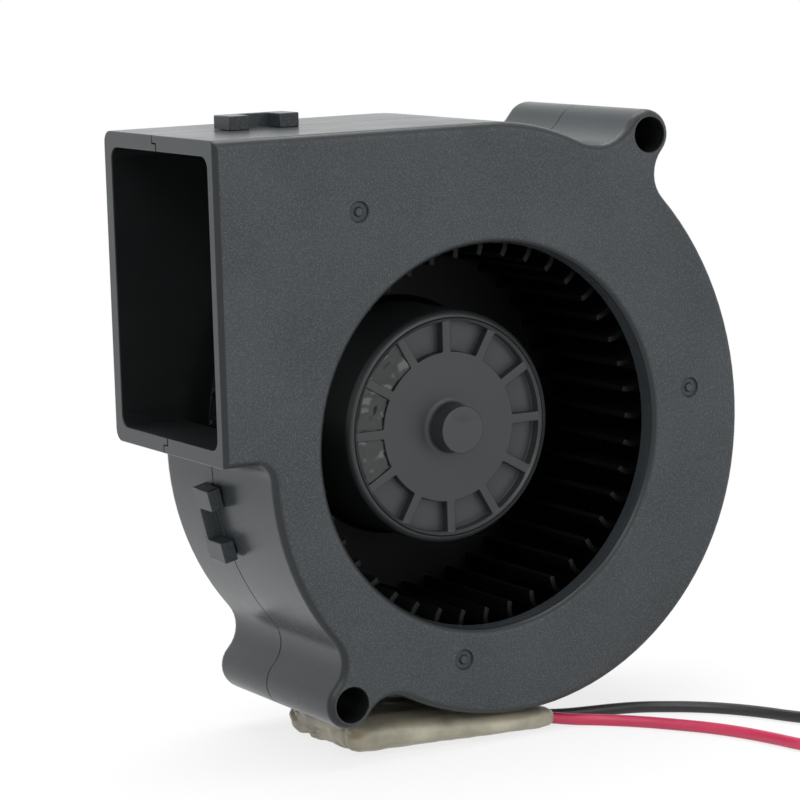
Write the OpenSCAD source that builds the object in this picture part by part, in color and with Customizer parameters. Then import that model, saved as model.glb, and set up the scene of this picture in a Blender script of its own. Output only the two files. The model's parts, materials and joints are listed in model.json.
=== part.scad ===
// Centrifugal dc blower: a two-shell scroll casing with a side outlet, a forward-curved
// impeller on an outer-rotor brushless motor, and two leads with a connector.
// Pieces are drawn in a flat frame that looks at the inlet, with +Z out of the inlet,
// and stand() then turns them upright: inlet towards -Y, outlet towards -X, +Z up.

/* [Casing] */
// Depth of the casing between its front and back faces
case_t = 30; // [30:0.1:30.6]
// Wall thickness of both shells
wall = 2; // [1.8:0.1:2.1]
// Height of the duct's top wall over the impeller axis
top_z = 39.35; // [39.2:0.05:39.5]
// Radius of the lower scroll arc
low_r = 34.55; // [34.4:0.05:34.7]
// Radius of the round mounting lugs
lug_r = 3.2; // [3.1:0.1:3.4]
// Radius of the screw holes through the lugs
screw_r = 2.25; // [2.15:0.05:2.3]
// Rounding along the front edge
front_edge = 1.2; // [0.8:0.1:1.2]
// Rounding along the back edge
back_edge = 1.5; // [1.2:0.1:1.8]
// Depth of the joint between the shells, behind the middle of the casing
joint_depth = 1.5; // [1.4:0.1:1.7]

/* [Inlet] */
// Radius of the inlet throat
inlet_r = 24.3; // [24:0.1:24.5]
// Rounding of the inlet lip
lip_r = 1.1; // [0.9:0.1:1.2]

/* [Impeller] */
// Outer radius of the blades
wheel_r = 27; // [26.6:0.1:27.2]
// Inner radius of the blades
blade_in_r = 22.6; // [22.4:0.1:23]
// Number of blades
blade_n = 41; // [37:2:43]
// Blade thickness
blade_t = 0.75; // [0.7:0.05:0.9]
// Outer radius of the hub cup
hub_r = 15; // [14.9:0.05:15.1]
// Balance pockets round the hub's rim
pocket_n = 12; // [12:1:12]

/* [Motor] */
// Shaft radius
shaft_r = 1.5; // [1.5:0.1:1.5]
// Bearing outer radius
bearing_r = 4; // [4:0.1:4]
// Bearing width
bearing_w = 4; // [4:0.1:4]
// Balls in each bearing
ball_n = 7; // [6:1:7]
// Stator radius over the pole shoes
stator_r = 11.4; // [11.2:0.1:11.5]

/* [Leads] */
// Diameter over the insulation of one lead
lead_d = 1.5; // [1.4:0.1:1.5]

/* [Hidden] */

$fn = 96;
eps = 0.01;

// Colours
shell_grey = [0.30, 0.31, 0.32];
wheel_grey = [0.22, 0.23, 0.24];
steel = [0.62, 0.63, 0.65];
brass = [0.78, 0.62, 0.32];

// The casing's lowest point rests on the taped lead bundle
axis_h = 39.3;

// Heights in the flat frame, towards the inlet
front_h = case_t / 2;
back_h = -case_t / 2;
joint_h = -joint_depth;
plate_h = front_h - wall;
floor_h = back_h + wall;

// Centres and radii of the scroll's arcs, seen from the inlet
low_c = [3.2, -1.3];
high_c = [-3.7, 0];
high_r = low_r + norm(high_c - low_c);
turn_a = angle_of(low_c - high_c);
outlet_x = -(high_c[0] + high_r);
crest_r = 32;
crest_c = [0.5, top_z - crest_r];

// Lugs and the fillets beside them
lug_high = [24.5, 36.4];
lug_low = [-21.5, -31.2];
neck_r = 6;
flank_r = 4.4;
heel_r = 4;
chin_r = 2.5;
neck_c = blend_centre(crest_c, crest_r, lug_high, lug_r, neck_r, 1);
flank_c = blend_centre(high_c, high_r, lug_high, lug_r, flank_r, -1);
heel_c = blend_centre(low_c, low_r, lug_low, lug_r, heel_r, -1);
sole_c = blend_centre(low_c, low_r, lug_low, lug_r, heel_r, 1);
nose_r = 1.5;
nose_c = [-29.75, wall - nose_r];
chin_c = [
    low_c[0] - sqrt(pow(low_r + chin_r, 2) - pow(low_c[1] + chin_r, 2)),
    -chin_r
];

// Lap joint between the shells
lap_depth = 1.1;
lap_gap = 0.08;

// Gate marks on the front face
gates = [[-18.4, 29.6], [30.1, 3.3], [-5.2, -27.8]];

// Snap hooks of the rear shell: width, reach over the front cover, height
hook_w = 9.7;
hook_prong = 2.75;
hook_bar = 1;
hook_reach = 2.35;
hook_back = 2;
hook_up = 1.8;
hook_x = -23.4;
hook_a = 193.5;

// Impeller
blade_front_h = 11;
disc_h = -10.8;
disc_t = 1;
blade_arc_r = 3.7;
blade_lean = 2.1;
hub_face_h = 4.5;
hub_top_t = 3;
hub_skin = 1;
boss_end_h = 7.6;
boss_r = 3.05;
pocket_in_r = 9.7;
pocket_out_r = 13.6;
pocket_deep = 1.6;
pocket_rib = 1.2;

// Rotor cup
yoke_r = hub_r - hub_skin;
yoke_t = 0.8;
yoke_top_h = hub_face_h - hub_top_t;
yoke_end_h = -10.4;
magnet_t = 1.5;
magnet_in_r = yoke_r - yoke_t - magnet_t;
magnet_top_h = -1;
shaft_end_h = -12.95;
shaft_top_h = 6.2;

// Bearings and their tube
front_bearing_h = -3.2;
rear_bearing_h = -10.2;
tube_r = 5;
tube_top_h = -0.9;
tube_end_h = -14;
ledge_r = 3.4;
ball_r = 0.75;
ball_pitch_r = 2.75;
ball_play = 0.03;
race_in_r = 2.2;
race_out_r = 3.3;

// Stator
core_h = -6;
core_t = 4.8;
arm_w = 3.2;
pole_n = 4;
pole_half_a = 37;
insulator_t = 1;
coil_t = 1.3;
pin_ring_r = 8.3;
pin_r = 0.3;
pin_angles = [45, 135, 225];

// Circuit board
board_top_h = -11.4;
board_t = 0.8;
board_r = 13.3;

// Channel that takes the leads down the casing's back
channel_x = -6;
channel_w = 3.7;
channel_pitch = 1.6;
channel_top_h = -12.8;
channel_h = -13.6;
bridge_t = 0.55;

// Free leads, on the surface that the blower stands on, from the bundle's end
lead_r = lead_d / 2;
red_route = [
    [9, -12.2, 1.3], [12, -13.6, 0.9], [14.8, -15.4, 0.75], [18.3, -19.2, 0.75],
    [21.4, -23.6, 0.75], [23.7, -27.4, 0.75], [25.4, -31.3, 0.75], [26.8, -36, 0.75],
    [28, -41, 0.75], [30.2, -45.6, 0.75], [33.8, -48.6, 0.75], [38.4, -49.6, 0.75],
    [43.6, -49, 0.75], [48.6, -47.4, 0.75], [52.8, -45.4, 0.8]
];
black_route = [
    [9, -10.4, 1.3], [12.4, -10.5, 0.9], [15.8, -10.9, 0.75], [19.2, -11.7, 0.75],
    [22.7, -13, 0.75], [26, -15.2, 0.75], [28.6, -17.4, 0.75], [30.8, -19.9, 0.75],
    [32.6, -22.6, 0.75], [34.1, -25.4, 0.75], [35.4, -28.4, 0.75], [36.6, -31.4, 0.9],
    [37.5, -34.4, 1.5], [38.2, -37, 2.2], [39.3, -39.4, 2.4]
];
coil_c = [49, -36];
coil_r = 8.6;
coil_turns_w = 3.2;
red_tail = [
    coil_point(262, 7.0, 0.8), coil_point(280, 6.4, 0.8), coil_point(298, 6.15, 1.1),
    coil_point(315, 6.1, 1.6), coil_point(340, 5.4, 2.5), coil_point(5, 5.3, 3.4),
    coil_point(28, 6.2, 3.95), coil_point(44, 8.2, 4.0), coil_point(54, 10.4, 3.9),
    [55.6, -25.6, 3.1], [55.75, -24.2, 2.6], [55.75, -23.4, 2.6]
];
black_tail = [
    coil_point(215, 8.0, 3.4), coil_point(235, 8.4, 3.95), coil_point(260, 8.6, 4.0),
    coil_point(285, 8.6, 4.0), coil_point(310, 8.6, 4.0), coil_point(335, 8.6, 4.0),
    coil_point(0, 8.7, 4.0), coil_point(20, 9.2, 4.0), coil_point(34, 10.6, 3.8),
    coil_point(43, 12.2, 3.2), [58.2, -26, 2.9], [58.25, -24.4, 2.6], [58.25, -23.4, 2.6]
];

// Connector on the leads' ends
plug_pitch = 2.5;
plug_w = 7.4;
plug_len = 9.5;
plug_t = 5.4;
plug_x = 57;
plug_y = -24;

// --- Helpers ---------------------------------------------------------------

function angle_of(v) = atan2(v[1], v[0]);
function unit(v) = v / norm(v);
function polar(c, r, a) = c + r * [cos(a), sin(a)];
function coil_point(a, r, z) = [coil_c[0] + r * cos(a), coil_c[1] + r * sin(a), z];

// Centre of a fillet of radius rf that touches two circles from outside
function blend_centre(c1, r1, c2, r2, rf, side) =
    let (
        d = norm(c2 - c1),
        along = (pow(r1 + rf, 2) - pow(r2 + rf, 2) + d * d) / (2 * d),
        off = sqrt(pow(r1 + rf, 2) - along * along),
        u = (c2 - c1) / d
    )
    c1 + along * u + side * off * [-u[1], u[0]];

// Stands a piece of the flat frame upright on the impeller's axis
module stand() {
    translate([0, 0, axis_h]) rotate([90, 0, 0]) children();
}

// A flat outline between two heights
module slab(from, to) {
    translate([0, 0, min(from, to)]) linear_extrude(abs(to - from)) children();
}

// A ring with a rectangular section
module ring(r_out, r_in, from, to) {
    slab(from, to) difference() {
        circle(r = r_out);
        circle(r = r_in);
    }
}

// A round tube of eight sides along a route
module lead_tube(route, r, ref = [0, 0, 1]) {
    sides = 8;
    n = len(route);
    points = [
        for (i = [0 : n - 1])
            let (
                t = unit(route[min(i + 1, n - 1)] - route[max(i - 1, 0)]),
                side = unit(cross(t, ref)),
                up = cross(side, t)
            )
            for (k = [0 : sides - 1])
                route[i] + r * (cos(360 * (k + 0.5) / sides) * side + sin(360 * (k + 0.5) / sides) * up)
    ];
    walls = [
        for (i = [0 : n - 2])
            for (k = [0 : sides - 1])
                let (a = i * sides + k, b = i * sides + (k + 1) % sides)
                each [[a, a + sides, b + sides], [a, b + sides, b]]
    ];
    caps = [
        [for (k = [0 : sides - 1]) k],
        [for (k = [sides - 1 : -1 : 0]) (n - 1) * sides + k]
    ];
    polyhedron(points = points, faces = concat(walls, caps));
}

// --- Casing outlines --------------------------------------------------------

// Points along an arc after its first, turning left (turn = 1) or right (turn = -1)
function arc_points(c, r, from_a, to_a, turn, steps) =
    let (span = turn > 0 ? (to_a - from_a + 720) % 360 : -((from_a - to_a + 720) % 360))
    [for (i = [1 : steps]) polar(c, r, from_a + span * i / steps)];

// Top wall from past the outlet to the dip beside the upper lug, shrunk by inset
function top_points(inset) = concat(
    [[outlet_x - 3 + inset, top_z - inset], [crest_c[0], top_z - inset]],
    arc_points(crest_c, crest_r - inset, 90, angle_of(neck_c - crest_c), -1, 8)
);

// The dip and the upper right of the scroll, without the upper lug
function right_points(inset) =
    let (q = blend_centre(neck_c, neck_r + inset, high_c, high_r - inset, 0, 1))
    concat(
        arc_points(neck_c, neck_r + inset, angle_of(crest_c - neck_c), angle_of(q - neck_c), 1, 5),
        arc_points(high_c, high_r - inset, angle_of(q - high_c), turn_a, -1, 20)
    );

// The dip, the upper lug and the upper right of the scroll
function lug_points(inset) = concat(
    arc_points(neck_c, neck_r + inset, angle_of(crest_c - neck_c), angle_of(lug_high - neck_c), 1, 8),
    arc_points(lug_high, lug_r - inset, angle_of(neck_c - lug_high), angle_of(flank_c - lug_high), -1, 16),
    arc_points(flank_c, flank_r + inset, angle_of(lug_high - flank_c), angle_of(high_c - flank_c), 1, 8),
    arc_points(high_c, high_r - inset, angle_of(flank_c - high_c), turn_a, -1, 18)
);

// The corner under the duct, and the duct's lower wall past the outlet
function chin_points(inset) = concat(
    arc_points(chin_c, chin_r + inset, angle_of(low_c - chin_c), 90, 1, 8),
    [[outlet_x - 3 + inset, inset]]
);

// The whole outline with lugs and fillets
function case_points(inset) = concat(
    top_points(inset),
    lug_points(inset),
    arc_points(low_c, low_r - inset, turn_a, angle_of(sole_c - low_c), -1, 34),
    arc_points(sole_c, heel_r + inset, angle_of(low_c - sole_c), angle_of(lug_low - sole_c), 1, 8),
    arc_points(lug_low, lug_r - inset, angle_of(sole_c - lug_low), angle_of(heel_c - lug_low), -1, 16),
    arc_points(heel_c, heel_r + inset, angle_of(lug_low - heel_c), angle_of(low_c - heel_c), 1, 8),
    arc_points(low_c, low_r - inset, angle_of(heel_c - low_c), angle_of(chin_c - low_c), -1, 12),
    chin_points(inset)
);

// The middle of the wall, without lugs, for the lap joint
function lap_points(inset) = concat(
    top_points(inset),
    right_points(inset),
    arc_points(low_c, low_r - inset, turn_a, angle_of(chin_c - low_c), -1, 52),
    chin_points(inset)
);

// The air space inside, with the rounded nose beside the impeller that ends the scroll
function air_points() =
    let (q = blend_centre(low_c, low_r - wall, nose_c, nose_r, 0, 1))
    concat(
        top_points(wall),
        right_points(wall),
        arc_points(low_c, low_r - wall, turn_a, angle_of(q - low_c), -1, 52),
        arc_points(nose_c, nose_r, angle_of(q - nose_c), 90, 1, 8),
        [[outlet_x - 1, wall]]
    );

// Section of the strip that rounds an edge: distance in from the outline, depth below the face
function edge_section(e) = concat(
    [[-1, -1], [e, -1]],
    [for (t = [0 : 22.5 : 90]) [e - (e + eps) * sin(t), e - (e + eps) * cos(t)]],
    [[-1, e]]
);

// Strip round the whole outline that rounds its edge at height zero
module edge_strip(e) {
    section = edge_section(e);
    m = len(section);
    n = len(case_points(0));
    points = [for (g = section) each [for (p = case_points(g[0])) [p[0], p[1], -g[1]]]];
    faces = [
        for (j = [0 : m - 1])
            for (i = [0 : n - 1])
                let (
                    a = j * n + i,
                    b = j * n + (i + 1) % n,
                    c = ((j + 1) % m) * n + i,
                    d = ((j + 1) % m) * n + (i + 1) % n
                )
                each [[a, b, c], [b, d, c]]
    ];
    polyhedron(points = points, faces = faces);
}

// Everything past the outlet's plane, with a small chamfer down the outlet's front edge
module outlet_trim() {
    translate([outlet_x - 10, -50, -20]) cube([10, 100, 40]);
    translate([outlet_x, 0, front_h]) rotate([0, 45, 0]) cube([0.8, 100, 0.8], center = true);
}

// Screw holes through both lugs
module screw_holes(from, to) {
    for (c = [lug_high, lug_low])
        translate(c) translate([0, 0, min(from, to)]) cylinder(r = screw_r, h = abs(to - from));
}

// --- Casing pieces ----------------------------------------------------------

// Throat of the inlet with its rounded lip
module inlet_throat() {
    translate([0, 0, 0]) rotate_extrude()
        polygon(concat(
            [[0, front_h + 1], [inlet_r + lip_r, front_h + 1]],
            [for (t = [0 : 15 : 90])
                [inlet_r + lip_r - lip_r * sin(t), front_h - lip_r + lip_r * cos(t)]],
            [[inlet_r, plate_h - 3], [0, plate_h - 3]]
        ));
}

module front_cover() {
    lap_h = joint_h + lap_depth;
    color(shell_grey) stand() difference() {
        union() {
            difference() {
                slab(joint_h, front_h) polygon(case_points(0));
                slab(lap_h, plate_h) polygon(air_points());
                slab(joint_h - 1, lap_h + eps) polygon(lap_points(wall / 2));
            }
            // Collar that turns the inlet's lip into the scroll
            ring(inlet_r + wall / 2, inlet_r - eps, plate_h - 0.8, plate_h + 0.5);
        }
        inlet_throat();
        screw_holes(joint_h - 1, front_h + 1);
        outlet_trim();
        translate([0, 0, front_h]) edge_strip(front_edge);
        for (g = gates)
            translate(g) ring(1.25, 0.55, front_h - 0.35, front_h + 1);
    }
}

// A C-shaped snap hook: its prongs reach over the front cover's wall
module snap_hook() {
    prong_len = hook_reach + hook_back;
    translate([-hook_w / 2, -0.6, joint_h - hook_back])
        cube([hook_w, hook_up + 0.6, hook_bar]);
    for (x = [-hook_w / 2, hook_w / 2 - hook_prong]) {
        translate([x, 0, joint_h - hook_back])
            cube([hook_prong, hook_up, prong_len]);
        translate([x, -0.6, joint_h - hook_back])
            cube([hook_prong, hook_up, hook_back]);
    }
}

module rear_shell() {
    color(shell_grey) stand() difference() {
        union() {
            difference() {
                slab(back_h, joint_h) polygon(case_points(0));
                slab(floor_h, joint_h + 1) polygon(air_points());
            }
            // Tongue that fits inside the front cover's lap
            slab(joint_h - 1, joint_h + lap_depth - lap_gap) difference() {
                polygon(lap_points(wall / 2 + lap_gap));
                polygon(air_points());
            }
            translate([hook_x, top_z]) snap_hook();
            translate(low_c) rotate([0, 0, hook_a - 90]) translate([0, low_r + 0.03]) snap_hook();
            // Seat of the bearing tube and rim of the motor base
            ring(6, tube_r, floor_h - eps, -12.35);
            ring(14.6, 13.8, floor_h - eps, -12.2);
            // The back plate bulges inwards over the lead channel
            translate([channel_x - channel_w / 2 - 0.8, -33.5, floor_h - eps])
                cube([channel_w + 1.6, 19.5, channel_top_h + 0.8 - floor_h]);
        }
        // Hole for the bearing tube, with the recess of its cap
        translate([0, 0, back_h - 1]) cylinder(r = tube_r, h = 4);
        translate([0, 0, back_h - 1]) cylinder(r = 6.2, h = 2);
        // Shallow round field of the motor base
        ring(13, 7.6, back_h - 1, back_h + 0.3);
        screw_holes(back_h - 1, joint_h + 1);
        // Slot behind the circuit board, and the channel from it to the rim
        translate([channel_x - channel_w / 2, -16, back_h - 1]) cube([channel_w, 6, 3.4]);
        translate([channel_x - channel_w / 2, -40, back_h - 1])
            cube([channel_w, 25, channel_top_h - back_h + 1]);
        outlet_trim();
        translate([0, 0, back_h]) mirror([0, 0, 1]) edge_strip(back_edge);
    }
    // Bridges that keep the leads in the channel
    color(shell_grey) stand() for (y = [-20, -29])
        translate([channel_x - channel_w / 2 - 0.3, y - 0.8, back_h])
            cube([channel_w + 0.6, 1.6, bridge_t]);
}

// --- Motor, fixed -----------------------------------------------------------

module bearing_tube() {
    color(brass) stand() rotate_extrude() polygon([
        [bearing_r, tube_top_h], [tube_r, tube_top_h], [tube_r, tube_end_h],
        [bearing_r, tube_end_h], [bearing_r, rear_bearing_h + bearing_w / 2],
        [ledge_r, rear_bearing_h + bearing_w / 2], [ledge_r, front_bearing_h - bearing_w / 2],
        [bearing_r, front_bearing_h - bearing_w / 2]
    ]);
}

module bearing_cap() {
    color([0.12, 0.12, 0.13]) stand() rotate_extrude() polygon([
        [0, back_h + 0.1], [6.1, back_h + 0.1], [6.1, tube_end_h], [3.95, tube_end_h],
        [3.95, tube_end_h + 0.7], [3.2, tube_end_h + 0.7], [3.2, tube_end_h], [0, tube_end_h]
    ]);
}

// One lamination: a ring, its arms and its pole shoes, grown by `grow`
module lamination(shoe_r, ring_r, arm) {
    difference() {
        union() {
            circle(r = ring_r);
            for (k = [0 : pole_n - 1]) rotate([0, 0, 90 * k]) {
                translate([0, -arm / 2]) square([shoe_r - 0.6, arm]);
                intersection() {
                    difference() {
                        circle(r = shoe_r);
                        circle(r = stator_r - 1.2);
                    }
                    polygon([[0, 0], polar([0, 0], 20, -pole_half_a), [20, 0], polar([0, 0], 20, pole_half_a)]);
                }
            }
        }
        circle(r = tube_r);
    }
}

module stator_core() {
    color(steel) stand() slab(core_h - core_t / 2, core_h + core_t / 2) lamination(stator_r, 7, arm_w);
}

module insulator(from, to) {
    color([0.86, 0.84, 0.76]) stand() slab(from, to) lamination(stator_r - 0.2, 7.2, arm_w + 0.2);
}

module front_insulator() {
    top = core_h + core_t / 2;
    insulator(top, top + insulator_t);
}

module rear_insulator() {
    low = core_h - core_t / 2;
    insulator(low - insulator_t, low);
    // Posts that hold the terminal pins
    color([0.86, 0.84, 0.76]) stand() for (a = pin_angles) {
        translate(polar([0, 0], pin_ring_r - 1.6, a)) rotate([0, 0, a])
            translate([-0.8, -0.8, low - insulator_t]) cube([3, 1.6, insulator_t]);
    }
}

// A coil wound round one arm
module winding() {
    inner_w = arm_w + 0.3;
    inner_h = core_t + 2 * insulator_t + 0.1;
    module loop(w, h, r) {
        square([w - 2 * r, h], center = true);
        square([w, h - 2 * r], center = true);
        for (sx = [-1, 1]) for (sy = [-1, 1])
            translate([sx * (w / 2 - r), sy * (h / 2 - r)]) circle(r = r);
    }
    translate([7.4, 0, core_h]) rotate([90, 0, 90]) linear_extrude(2.25) difference() {
        loop(inner_w + 2 * coil_t, inner_h + 2 * coil_t, 1.2);
        square([inner_w, inner_h], center = true);
    }
}

module windings() {
    color([0.72, 0.36, 0.16]) stand() for (k = [0 : pole_n - 1]) rotate([0, 0, 90 * k]) winding();
}

module terminal_pins() {
    pin_top = core_h - core_t / 2 - insulator_t;
    color(steel) stand() for (a = pin_angles)
        translate(polar([0, 0], pin_ring_r, a)) translate([0, 0, board_top_h - board_t - 0.4])
            cylinder(r = pin_r, h = pin_top - board_top_h + board_t + 0.4, $fn = 24);
}

module circuit_board() {
    color([0.12, 0.36, 0.22]) stand() slab(board_top_h - board_t, board_top_h) difference() {
        circle(r = board_r);
        circle(r = tube_r + 0.1);
        for (a = pin_angles) translate(polar([0, 0], pin_ring_r, a)) circle(r = pin_r, $fn = 24);
        translate([-16, -13.9]) square([32, 1.8]);
    }
}

// Parts on the board sit on its motor side or behind it
module hall_sensor() {
    color([0.1, 0.1, 0.1]) stand() rotate([0, 0, 315]) translate([8.6, -1.5, board_top_h]) {
        cube([1.5, 3, 1.1]);
    }
}

module driver_chip() {
    color([0.1, 0.1, 0.1]) stand() translate([6.2, -2.5, board_top_h - board_t - 0.55]) cube([4, 5, 0.55]);
}

module chip_parts() {
    color([0.72, 0.6, 0.42]) stand() for (p = [[-9.5, 3], [-9.5, 6], [-8, -5], [1, 9.5], [4, 9.5]])
        translate([p[0], p[1], board_top_h - board_t - 0.5]) cube([2, 1.2, 0.5]);
}

// --- Bearings ---------------------------------------------------------------

// Half-round groove of a race, as seen in its section
module race_section(r_from, r_to) {
    difference() {
        translate([r_from, -bearing_w / 2]) square([r_to - r_from, bearing_w]);
        translate([ball_pitch_r, 0]) circle(r = ball_r + ball_play);
    }
}

module outer_race(h) {
    color(steel) stand() translate([0, 0, h]) rotate_extrude() race_section(race_out_r, bearing_r);
}

module inner_race(h) {
    color(steel) stand() translate([0, 0, h]) rotate_extrude() race_section(shaft_r, race_in_r);
}

module ball_set(h) {
    color("silver") stand() for (k = [0 : ball_n - 1]) rotate([0, 0, 360 * k / ball_n])
        translate([ball_pitch_r, 0, h]) sphere(r = ball_r, $fn = 32);
}

module ball_cage(h) {
    color(brass) stand() difference() {
        ring(3.1, 2.4, h - 1.05, h + 1.05);
        for (k = [0 : ball_n - 1]) rotate([0, 0, 360 * k / ball_n])
            translate([2, 0, h]) rotate([0, 90, 0]) cylinder(r = ball_r + 0.05, h = 2);
    }
}

module front_outer_race() { outer_race(front_bearing_h); }
module rear_outer_race() { outer_race(rear_bearing_h); }
module front_inner_race() { inner_race(front_bearing_h); }
module rear_inner_race() { inner_race(rear_bearing_h); }
module front_balls() { ball_set(front_bearing_h); }
module rear_balls() { ball_set(rear_bearing_h); }
module front_cage() { ball_cage(front_bearing_h); }
module rear_cage() { ball_cage(rear_bearing_h); }

module bearing_shields() {
    color(steel) stand() for (h = [front_bearing_h, rear_bearing_h])
        for (s = [-1, 1]) ring(race_out_r, race_in_r + 0.06, h + s * 1.6 - 0.1, h + s * 1.6 + 0.1);
}

// --- Rotor ------------------------------------------------------------------

// One blade: a circular arc between the two radii, cupped towards the turning direction
module blade_outline() {
    p = [blade_in_r, 0];
    q = polar([0, 0], wheel_r, blade_lean);
    chord = norm(q - p);
    away = unit([-(q - p)[1], (q - p)[0]]);
    c = (p + q) / 2 + away * sqrt(pow(blade_arc_r, 2) - chord * chord / 4);
    a0 = angle_of(p - c);
    a1 = angle_of(q - c);
    steps = 5;
    polygon(concat(
        [for (i = [0 : steps]) polar(c, blade_arc_r + blade_t / 2, a0 + (a1 - a0) * i / steps)],
        [for (i = [steps : -1 : 0]) polar(c, blade_arc_r - blade_t / 2, a0 + (a1 - a0) * i / steps)]
    ));
}

module hub_pocket() {
    half_rib = pocket_rib / 2;
    half_a = 180 / pocket_n;
    intersection() {
        difference() {
            circle(r = pocket_out_r);
            circle(r = pocket_in_r);
        }
        polygon([
            [half_rib / sin(half_a), 0],
            polar([half_rib / sin(half_a), 0], 30, half_a),
            polar([half_rib / sin(half_a), 0], 30, -half_a)
        ]);
    }
}

module impeller() {
    rim = 1;
    field_h = hub_face_h - 0.3;
    color(wheel_grey) stand() {
        difference() {
            // Hub cup with a rounded rim, its disc and the centre boss
            rotate_extrude() polygon(concat(
                [
                    [0, boss_end_h], [boss_r, boss_end_h], [boss_r, field_h + 0.6],
                    [boss_r + 0.25, field_h + 0.2], [boss_r + 0.8, field_h],
                    [hub_r - 1.3, field_h], [hub_r - 1.1, hub_face_h]
                ],
                [for (t = [0 : 15 : 90])
                    [hub_r - rim + rim * sin(t), hub_face_h - rim + rim * cos(t)]],
                [
                    [hub_r, disc_h + disc_t + 1], [hub_r + 0.8, disc_h + disc_t],
                    [wheel_r + 0.3, disc_h + disc_t], [wheel_r + 0.3, disc_h],
                    [yoke_r, disc_h], [yoke_r, yoke_top_h], [shaft_r, yoke_top_h],
                    [shaft_r, shaft_top_h], [0, shaft_top_h]
                ]
            ));
            for (k = [0 : pocket_n - 1]) rotate([0, 0, 360 * (k + 0.5) / pocket_n])
                slab(hub_face_h - pocket_deep, hub_face_h + 1) hub_pocket();
        }
        slab(disc_h + disc_t / 2, blade_front_h)
            for (k = [0 : blade_n - 1]) rotate([0, 0, 360 * k / blade_n]) blade_outline();
        // Ring that ties the blade tips
        ring(wheel_r + 0.3, wheel_r - 0.5, blade_front_h - 1.4, blade_front_h + 0.1);
    }
}

// Balancing putty pressed into three neighbouring pockets
module balance_putty() {
    color([0.42, 0.44, 0.42]) stand() for (a = [135, 165, 195]) rotate([0, 0, a])
        slab(hub_face_h - pocket_deep, hub_face_h - 0.5) hub_pocket();
}

module rotor_yoke() {
    color(steel) stand() rotate_extrude() polygon([
        [shaft_r + 1.3, yoke_top_h], [yoke_r, yoke_top_h], [yoke_r, yoke_end_h],
        [yoke_r - yoke_t, yoke_end_h], [yoke_r - yoke_t, yoke_top_h - yoke_t],
        [shaft_r + 1.3, yoke_top_h - yoke_t]
    ]);
}

module rotor_magnet() {
    color([0.2, 0.19, 0.18]) stand()
        ring(yoke_r - yoke_t, magnet_in_r, magnet_top_h, yoke_end_h + 0.1);
}

module shaft() {
    chamfer = 0.25;
    groove_r = 1.2;
    groove_h = rear_bearing_h - bearing_w / 2 - 0.05;
    color(steel) stand() rotate_extrude() polygon([
        [0, shaft_top_h], [shaft_r - chamfer, shaft_top_h], [shaft_r, shaft_top_h - chamfer],
        [shaft_r, groove_h], [groove_r, groove_h], [groove_r, groove_h - 0.3],
        [shaft_r, groove_h - 0.3], [shaft_r, shaft_end_h + chamfer],
        [shaft_r - chamfer, shaft_end_h], [0, shaft_end_h]
    ]);
}

// Coil spring between the hub and the front bearing's inner race
module preload_spring() {
    wire_r = 0.16;
    coil_mid_r = 1.9;
    top = yoke_top_h - wire_r - 0.02;
    low = front_bearing_h + bearing_w / 2 + wire_r + 0.02;
    turns = 3.5;
    steps = 56;
    color(steel) stand() lead_tube(
        [for (i = [0 : steps])
            let (a = 360 * turns * i / steps)
            [coil_mid_r * cos(a), coil_mid_r * sin(a), low + (top - low) * i / steps]],
        wire_r
    );
}

module retaining_clip() {
    clip_h = rear_bearing_h - bearing_w / 2 - 0.08;
    color(steel) stand() difference() {
        ring(2.1, 1.2, clip_h - 0.25, clip_h);
        translate([0, -0.8, clip_h - 1]) cube([4, 1.6, 2]);
    }
}

// --- Leads ------------------------------------------------------------------

// A lead from the back of the board to the bundle: down the channel, then forward
module inside_lead(x) {
    lead_tube([
        [x, 12.98, axis_h - 10.5], [x, 13.1, axis_h - 12], [x, -channel_h - 0.1, axis_h - 13.8],
        [x, -channel_h, axis_h - 16], [x, -channel_h, axis_h - 24], [x, -channel_h, axis_h - 31],
        [x, -channel_h, 5.4], [x, 13.4, 3.8], [x, 12.6, 2.6], [x, 11.2, 1.9], [x, 9, 1.7], [x, 6.2, 1.8]
    ], lead_r - 0.03, [1, 0, 0]);
}

module red_lead_inside() { color("crimson") inside_lead(channel_x - channel_pitch / 2); }
module black_lead_inside() { color([0.1, 0.1, 0.1]) inside_lead(channel_x + channel_pitch / 2); }

// Leads folded flat and wrapped in tape: the blower rests on it
module lead_bundle() {
    color([0.72, 0.69, 0.58]) hull() {
        for (y = [-9.4, 4.6]) translate([-18, y, 2.3]) sphere(r = 2.3, $fn = 24);
        for (y = [-12.6, 4.4]) translate([3, y, 1.7]) sphere(r = 1.7, $fn = 24);
        for (y = [-12.2, -9.8]) translate([7.8, y, 1.4]) sphere(r = 1.4, $fn = 24);
    }
}

module red_lead() {
    color("crimson") {
        lead_tube(red_route, lead_r);
        lead_tube(red_tail, lead_r);
    }
}

module black_lead() {
    color([0.1, 0.1, 0.1]) {
        lead_tube(black_route, lead_r);
        lead_tube(black_tail, lead_r);
    }
}

module coil_ring(from) {
    translate(coil_c) translate([0, 0, from]) rotate_extrude()
        translate([coil_r - coil_turns_w / 2, 0]) square([coil_turns_w, lead_d + 0.1]);
}

module red_coil() { color("crimson") coil_ring(0); }
module black_coil() { color([0.1, 0.1, 0.1]) coil_ring(lead_d + 0.1); }

// A tie round both coils
module coil_tie() {
    band = 0.4;
    w = coil_turns_w + 0.1;
    h = 2 * (lead_d + 0.1) + 0.1;
    color([0.9, 0.9, 0.88]) translate(coil_c) rotate([0, 0, 120]) translate([coil_r, 0, 0])
        rotate([90, 0, 0]) translate([0, 0, -1]) linear_extrude(2) difference() {
            translate([-w / 2 - band, 0]) square([w + 2 * band, h + band]);
            translate([-w / 2, -eps]) square([w, h]);
        }
}

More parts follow.
